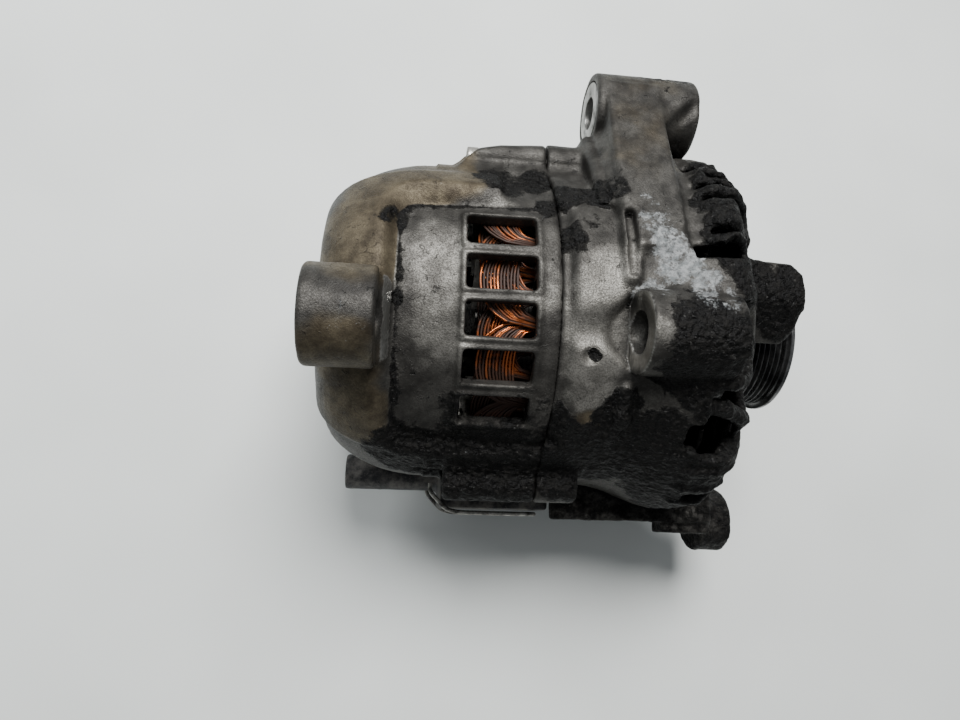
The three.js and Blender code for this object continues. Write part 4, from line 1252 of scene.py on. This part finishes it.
def shaft():
    """The shaft from its rear end to its thread, whose turns are drawn as rings."""
    profile = [
        (-70, 0.02), (-70, 5.4), (-69.4, 6), (-52, 6), (-52, 7.5), (-38, 7.5), (-38, 9), (58, 9), (58, 8.5),
        (98, 8.5),
    ]
    pitch, crest, root = 1.5, 7.0, 6.3
    for start in 98.0 + pitch * np.arange(4):
        profile += [(start + share * pitch, crest) for share in (0.1, 0.3)]
        profile += [(start + share * pitch, root) for share in (0.6, 0.8)]
    profile += [(105.6, 7), (106.4, 6), (106.4, 2.6), (105.4, 1.8), (103.4, 0.02)]
    stand_in("rotor_shaft", lathe(profile, facets=48), TURNED, "rotor", "ground_steel")


def small_solid(name, low, high, build, material, body, slot, step):
    """A piece whose shape a function builds in its own block of space, on a finer grid."""
    f = Field(low, high, step * (1))
    build(f)
    stand_in(name, f.surface(), material, body, slot)


def pulley_nut(f):
    f.add(hexagon(98.3, 104.6, 24, edge=0.4))
    f.cut(tube(97, 106, 7.3, edge=0.1), fillet=0.8)


def cap_screw(y, z, head, end, f):
    """A socket-headed screw from the outer face of its head to its end."""
    f.add(tube(head, head + HEAD_LENGTH, HEAD_RADIUS, y, z, 0.5))
    f.add(tube(head + HEAD_LENGTH - 1, end, EAR["bolt"], y, z, 0.4), fillet=0.4)
    f.cut(hexagon(head - 3, head + HEAD_LENGTH * 0.6, EAR["bolt"] * 1.75, y, z, 0.1))


def cover_screw(y, z, f):
    """A round-headed screw with a cross cut in its head."""
    f.add(tube(-79.4, -77.7, 3.6, y, z, 0.7))
    f.add(tube(-78, -67, 2, y, z, 0.3), fillet=0.3)
    for dy, dz in ((0.45, 2.4), (2.4, 0.45)):
        f.cut(block((-80, y - dy, z - dz), (-78.6, y + dy, z + dz), 0.1))


pulley()
shaft()
ZINC = PLATED, "housing", "plated_steel"
small_solid("pulley_nut", (97, -15, -15), (106, 15, 15), pulley_nut, PLATED, "rotor", "plated_steel", 0.45)
for i, (angle, radial) in enumerate(EARS, 1):
    y, z = polar(angle, radial)
    head, end = EAR["seat"] - 0.3 - HEAD_LENGTH, 13.6
    low, high = (head - 1, y - 5, z - 5), (end + 0.8, y + 5, z + 5)
    small_solid(f"through_bolt_{i}", low, high, partial(cap_screw, y, z, head, end), *ZINC, 0.4)
for i, (y, z) in enumerate(COVER_POSTS, 1):
    low, high = (-80.4, y - 4.4, z - 4.4), (-66.4, y + 4.4, z + 4.4)
    small_solid(f"cover_screw_{i}", low, high, partial(cover_screw, y, z), *ZINC, 0.3)


# -------- rear cover and output terminal
OUTPUT = -2.0, 31.0


def rear_cover(f):
    f.add(turned([
        (-77.4, 0), (-77.4, 37.2), (-76, 39.2), (-72.4, 39.2), (-72.4, 37.8), (-74, 37), (-74, 0),
    ]))
    f.add(turned([(-77.9, 10), (-77.9, 12.5), (-77, 12.5), (-77, 10)]), fillet=0.8)
    f.cut(*[arc(-90, -70, a - 5, a + 5, 15, 24, 1.2) for a in around(9, 15)], fillet=0.5)
    f.cut(*[tube(-90, -70, 2.3, y, z, 0.1) for y, z in COVER_POSTS])
    f.cut(tube(-90, -70, 3.3, *OUTPUT, 0.1))


def output_stud(f):
    f.add(hexagon(-60.3, -57.6, 8.6, *OUTPUT))
    f.add(tube(-83.2, -60, 2.7, *OUTPUT, 0.5), fillet=0.3)
    for x in np.arange(-82.6, -62, 1.1):
        f.add(tube(x, x + 0.55, 3.0, *OUTPUT, 0.15), fillet=0.2)


def output_nut(f):
    f.add(hexagon(-81.7, -77.7, 10, *OUTPUT))
    f.cut(tube(-83, -76, 3.3, *OUTPUT, 0.1), fillet=0.4)


BLACK = BLACK_PLASTIC, "housing", "black_moulding"
small_solid("rear_cover", (-79, -41, -41), (-71, 41, 41), rear_cover, *BLACK, 0.6)
small_solid("output_stud", (-84.5, -8, 25), (-56.5, 4, 37), output_stud, *ZINC, 0.3)
small_solid("output_nut", (-83, -8.5, 24.5), (-76.5, 4.5, 37.5), output_nut, *ZINC, 0.3)


# -------- pressed bush, connector and bail
def bush():
    x, y, z = UPPER_LUG["from"], UPPER_LUG["y"], UPPER_LUG["z"]
    outline = eased([(0, 6.3), (0, 12), (19.6, 12), (19.6, 6.3)], 0.7)
    stand_in("upper_lug_bush", lathe(outline, x, y, z), BUSH_STEEL, "housing", "ground_steel")


SPRING = {"low": -34.1, "high": -25.55, "radius": 1.6, "wire": 0.3, "turns": 5, "travel": 5.0}


def brush_spring(name, x):
    """The coil behind a brush, drawn at one length, though the real brush flattens it as it slides."""
    turns = np.linspace(0, 2 * math.pi * SPRING["turns"], 24 * SPRING["turns"])
    across, along = SPRING["radius"] * np.cos(turns), SPRING["radius"] * np.sin(turns)
    path = np.stack([x + across, along, np.linspace(SPRING["low"], SPRING["high"], len(turns))], 1)
    piece = stand_in(name, sweep(path, SPRING["wire"], 8), GROUND, "housing", "spring_wire")
    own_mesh(piece)


HOUSING = {"from": -34.0, "to": 12.0, "low": -76.0, "z0": -46.0, "z1": -14.0}
SOCKET = {"from": -75.0, "to": -33.0, "y": -60.6, "z": -38.6, "radius": 7.6, "bore": 6.0}


def connector_housing(f):
    """The connector's block, its round socket with two beads, and what is cut away for bail and ears."""
    h, s = HOUSING, SOCKET
    f.add(block((h["from"], h["low"], h["z0"]), (h["to"], -46, h["z1"]), 1.6))
    f.cut(tube(-60, 20, 65.9, edge=0.1))
    f.add(tube(s["from"], s["to"], s["radius"], s["y"], s["z"], 0.9), fillet=2.5)
    for x in (-73.5, -60.5):
        f.add(tube(x, x + 1.6, s["radius"] + 0.001, s["y"], s["z"], 0.5), fillet=0.5)
    f.cut(tube(s["from"] - 1, s["to"] - 8, s["bore"], s["y"], s["z"], 0.2), fillet=0.6)
    f.cut(block((-2, h["low"] - 1, -30), (8, h["low"] + 2.4, -26.6), 0.5), fillet=0.5)
    for dy in (-3, 3):
        f.cut(*[tube(-50, -36, 1.2, s["y"] + dy, s["z"] + dz, 0.1) for dz in (-3, 3)])
    for angle, radial in EARS[2:]:
        f.cut(tab(angle, 40, 16, radial, EAR["radius"] + 0.6, -50, 18, 0.2))


def bail():
    """The wire clip over the connector: two bent arms, joined across at their ends."""
    pivot, out, tip = 6.0, -77.6, -38.0
    z0, z1 = -47.4, -12.6

    def arm(z):
        inward = math.copysign(3, (z0 + z1) / 2 - z)
        return [
            (tip, out + 11.6, z), (tip, out + 8.6, z), (tip + 3, out + 5, z), (tip + 9, out + 0.6, z),
            (-14, out, z), (pivot - 3, out, z), (pivot, out, z + inward),
        ]

    path = smooth_path(arm(z1) + arm(z0)[::-1])
    stand_in("connector_bail", sweep(path, 0.9, 10), PLATED, "bail", "spring_wire")


bush()
brush_spring("outer_brush_spring", -64.4)
brush_spring("inner_brush_spring", -57.0)
GREY = GREY_PLASTIC, "housing", "grey_moulding"
small_solid("connector_housing", (-76, -78, -48), (14, -44, -12), connector_housing, *GREY, 0.6)
bail()


# -------- bench, light and camera
def bench():
    """The pale bench top, which is staging and not part of the alternator."""
    size = 3.0
    corners = np.array([(-size, -size, 0), (size, -size, 0), (size, size, 0), (-size, size, 0)])
    floor = bpy.data.objects.new("bench", build_mesh("bench", corners, np.array([[0, 1, 2, 3]])))
    bpy.context.scene.collection.objects.link(floor)
    p = Paint("bench_paint")
    shade = p.noise(120.0, 2.0)
    color = p.mix(p.range(shade, 0.3, 0.7), (0.70, 0.725, 0.70), (0.76, 0.785, 0.76))
    floor.data.materials.append(p.finish(color, 0.6, 0.0))


def soft_light(name, place, target, size, power, color=(1, 1, 1)):
    data = bpy.data.lights.new(name, "AREA")
    data.shape = "DISK"
    data.size = size
    data.energy = power
    data.color = color
    light = bpy.data.objects.new(name, data)
    light.location = place
    light.rotation_euler = (Vector(target) - Vector(place)).to_track_quat("-Z", "Y").to_euler()
    bpy.context.scene.collection.objects.link(light)


CAMERA = {"place": (-50.4, -79.1, 270.2), "target": (-19.9, -15.13, 0.0), "lens": 24.94, "roll": 1.377}


def camera():
    """The photograph's viewpoint, in the rotor's frame, with the top of the picture towards +Y."""
    data = bpy.data.cameras.new("camera")
    data.sensor_width = 36.0
    data.lens = CAMERA["lens"]
    data.clip_start = 0.01
    view = bpy.data.objects.new("camera", data)
    place, target = [TO_FRAME @ Vector(CAMERA[key]) for key in ("place", "target")]
    ahead = (target - place).normalized()
    right = ahead.cross(Vector((0, 1, 0))).normalized()
    up = right.cross(ahead)
    roll = Matrix.Rotation(math.radians(CAMERA["roll"]), 4, "Z")
    turn = Matrix((right, up, -ahead)).transposed().to_4x4()
    view.matrix_world = Matrix.Translation(place) @ turn @ roll
    bpy.context.scene.collection.objects.link(view)
    bpy.context.scene.camera = view


bench()
world = bpy.data.worlds.new("room")
world.use_nodes = True
sky = world.node_tree.nodes["Background"]
sky.inputs["Color"].default_value = (0.92, 0.96, 1.0, 1.0)
sky.inputs["Strength"].default_value = 0.24
bpy.context.scene.world = world
soft_light("ceiling", (0.05, 0.42, 0.95), (0, 0, 0.05), 0.55, 19.0)
soft_light("window", (-0.75, 0.55, 0.75), (0, 0, 0.05), 0.5, 6.0, (0.95, 0.98, 1.0))
camera()
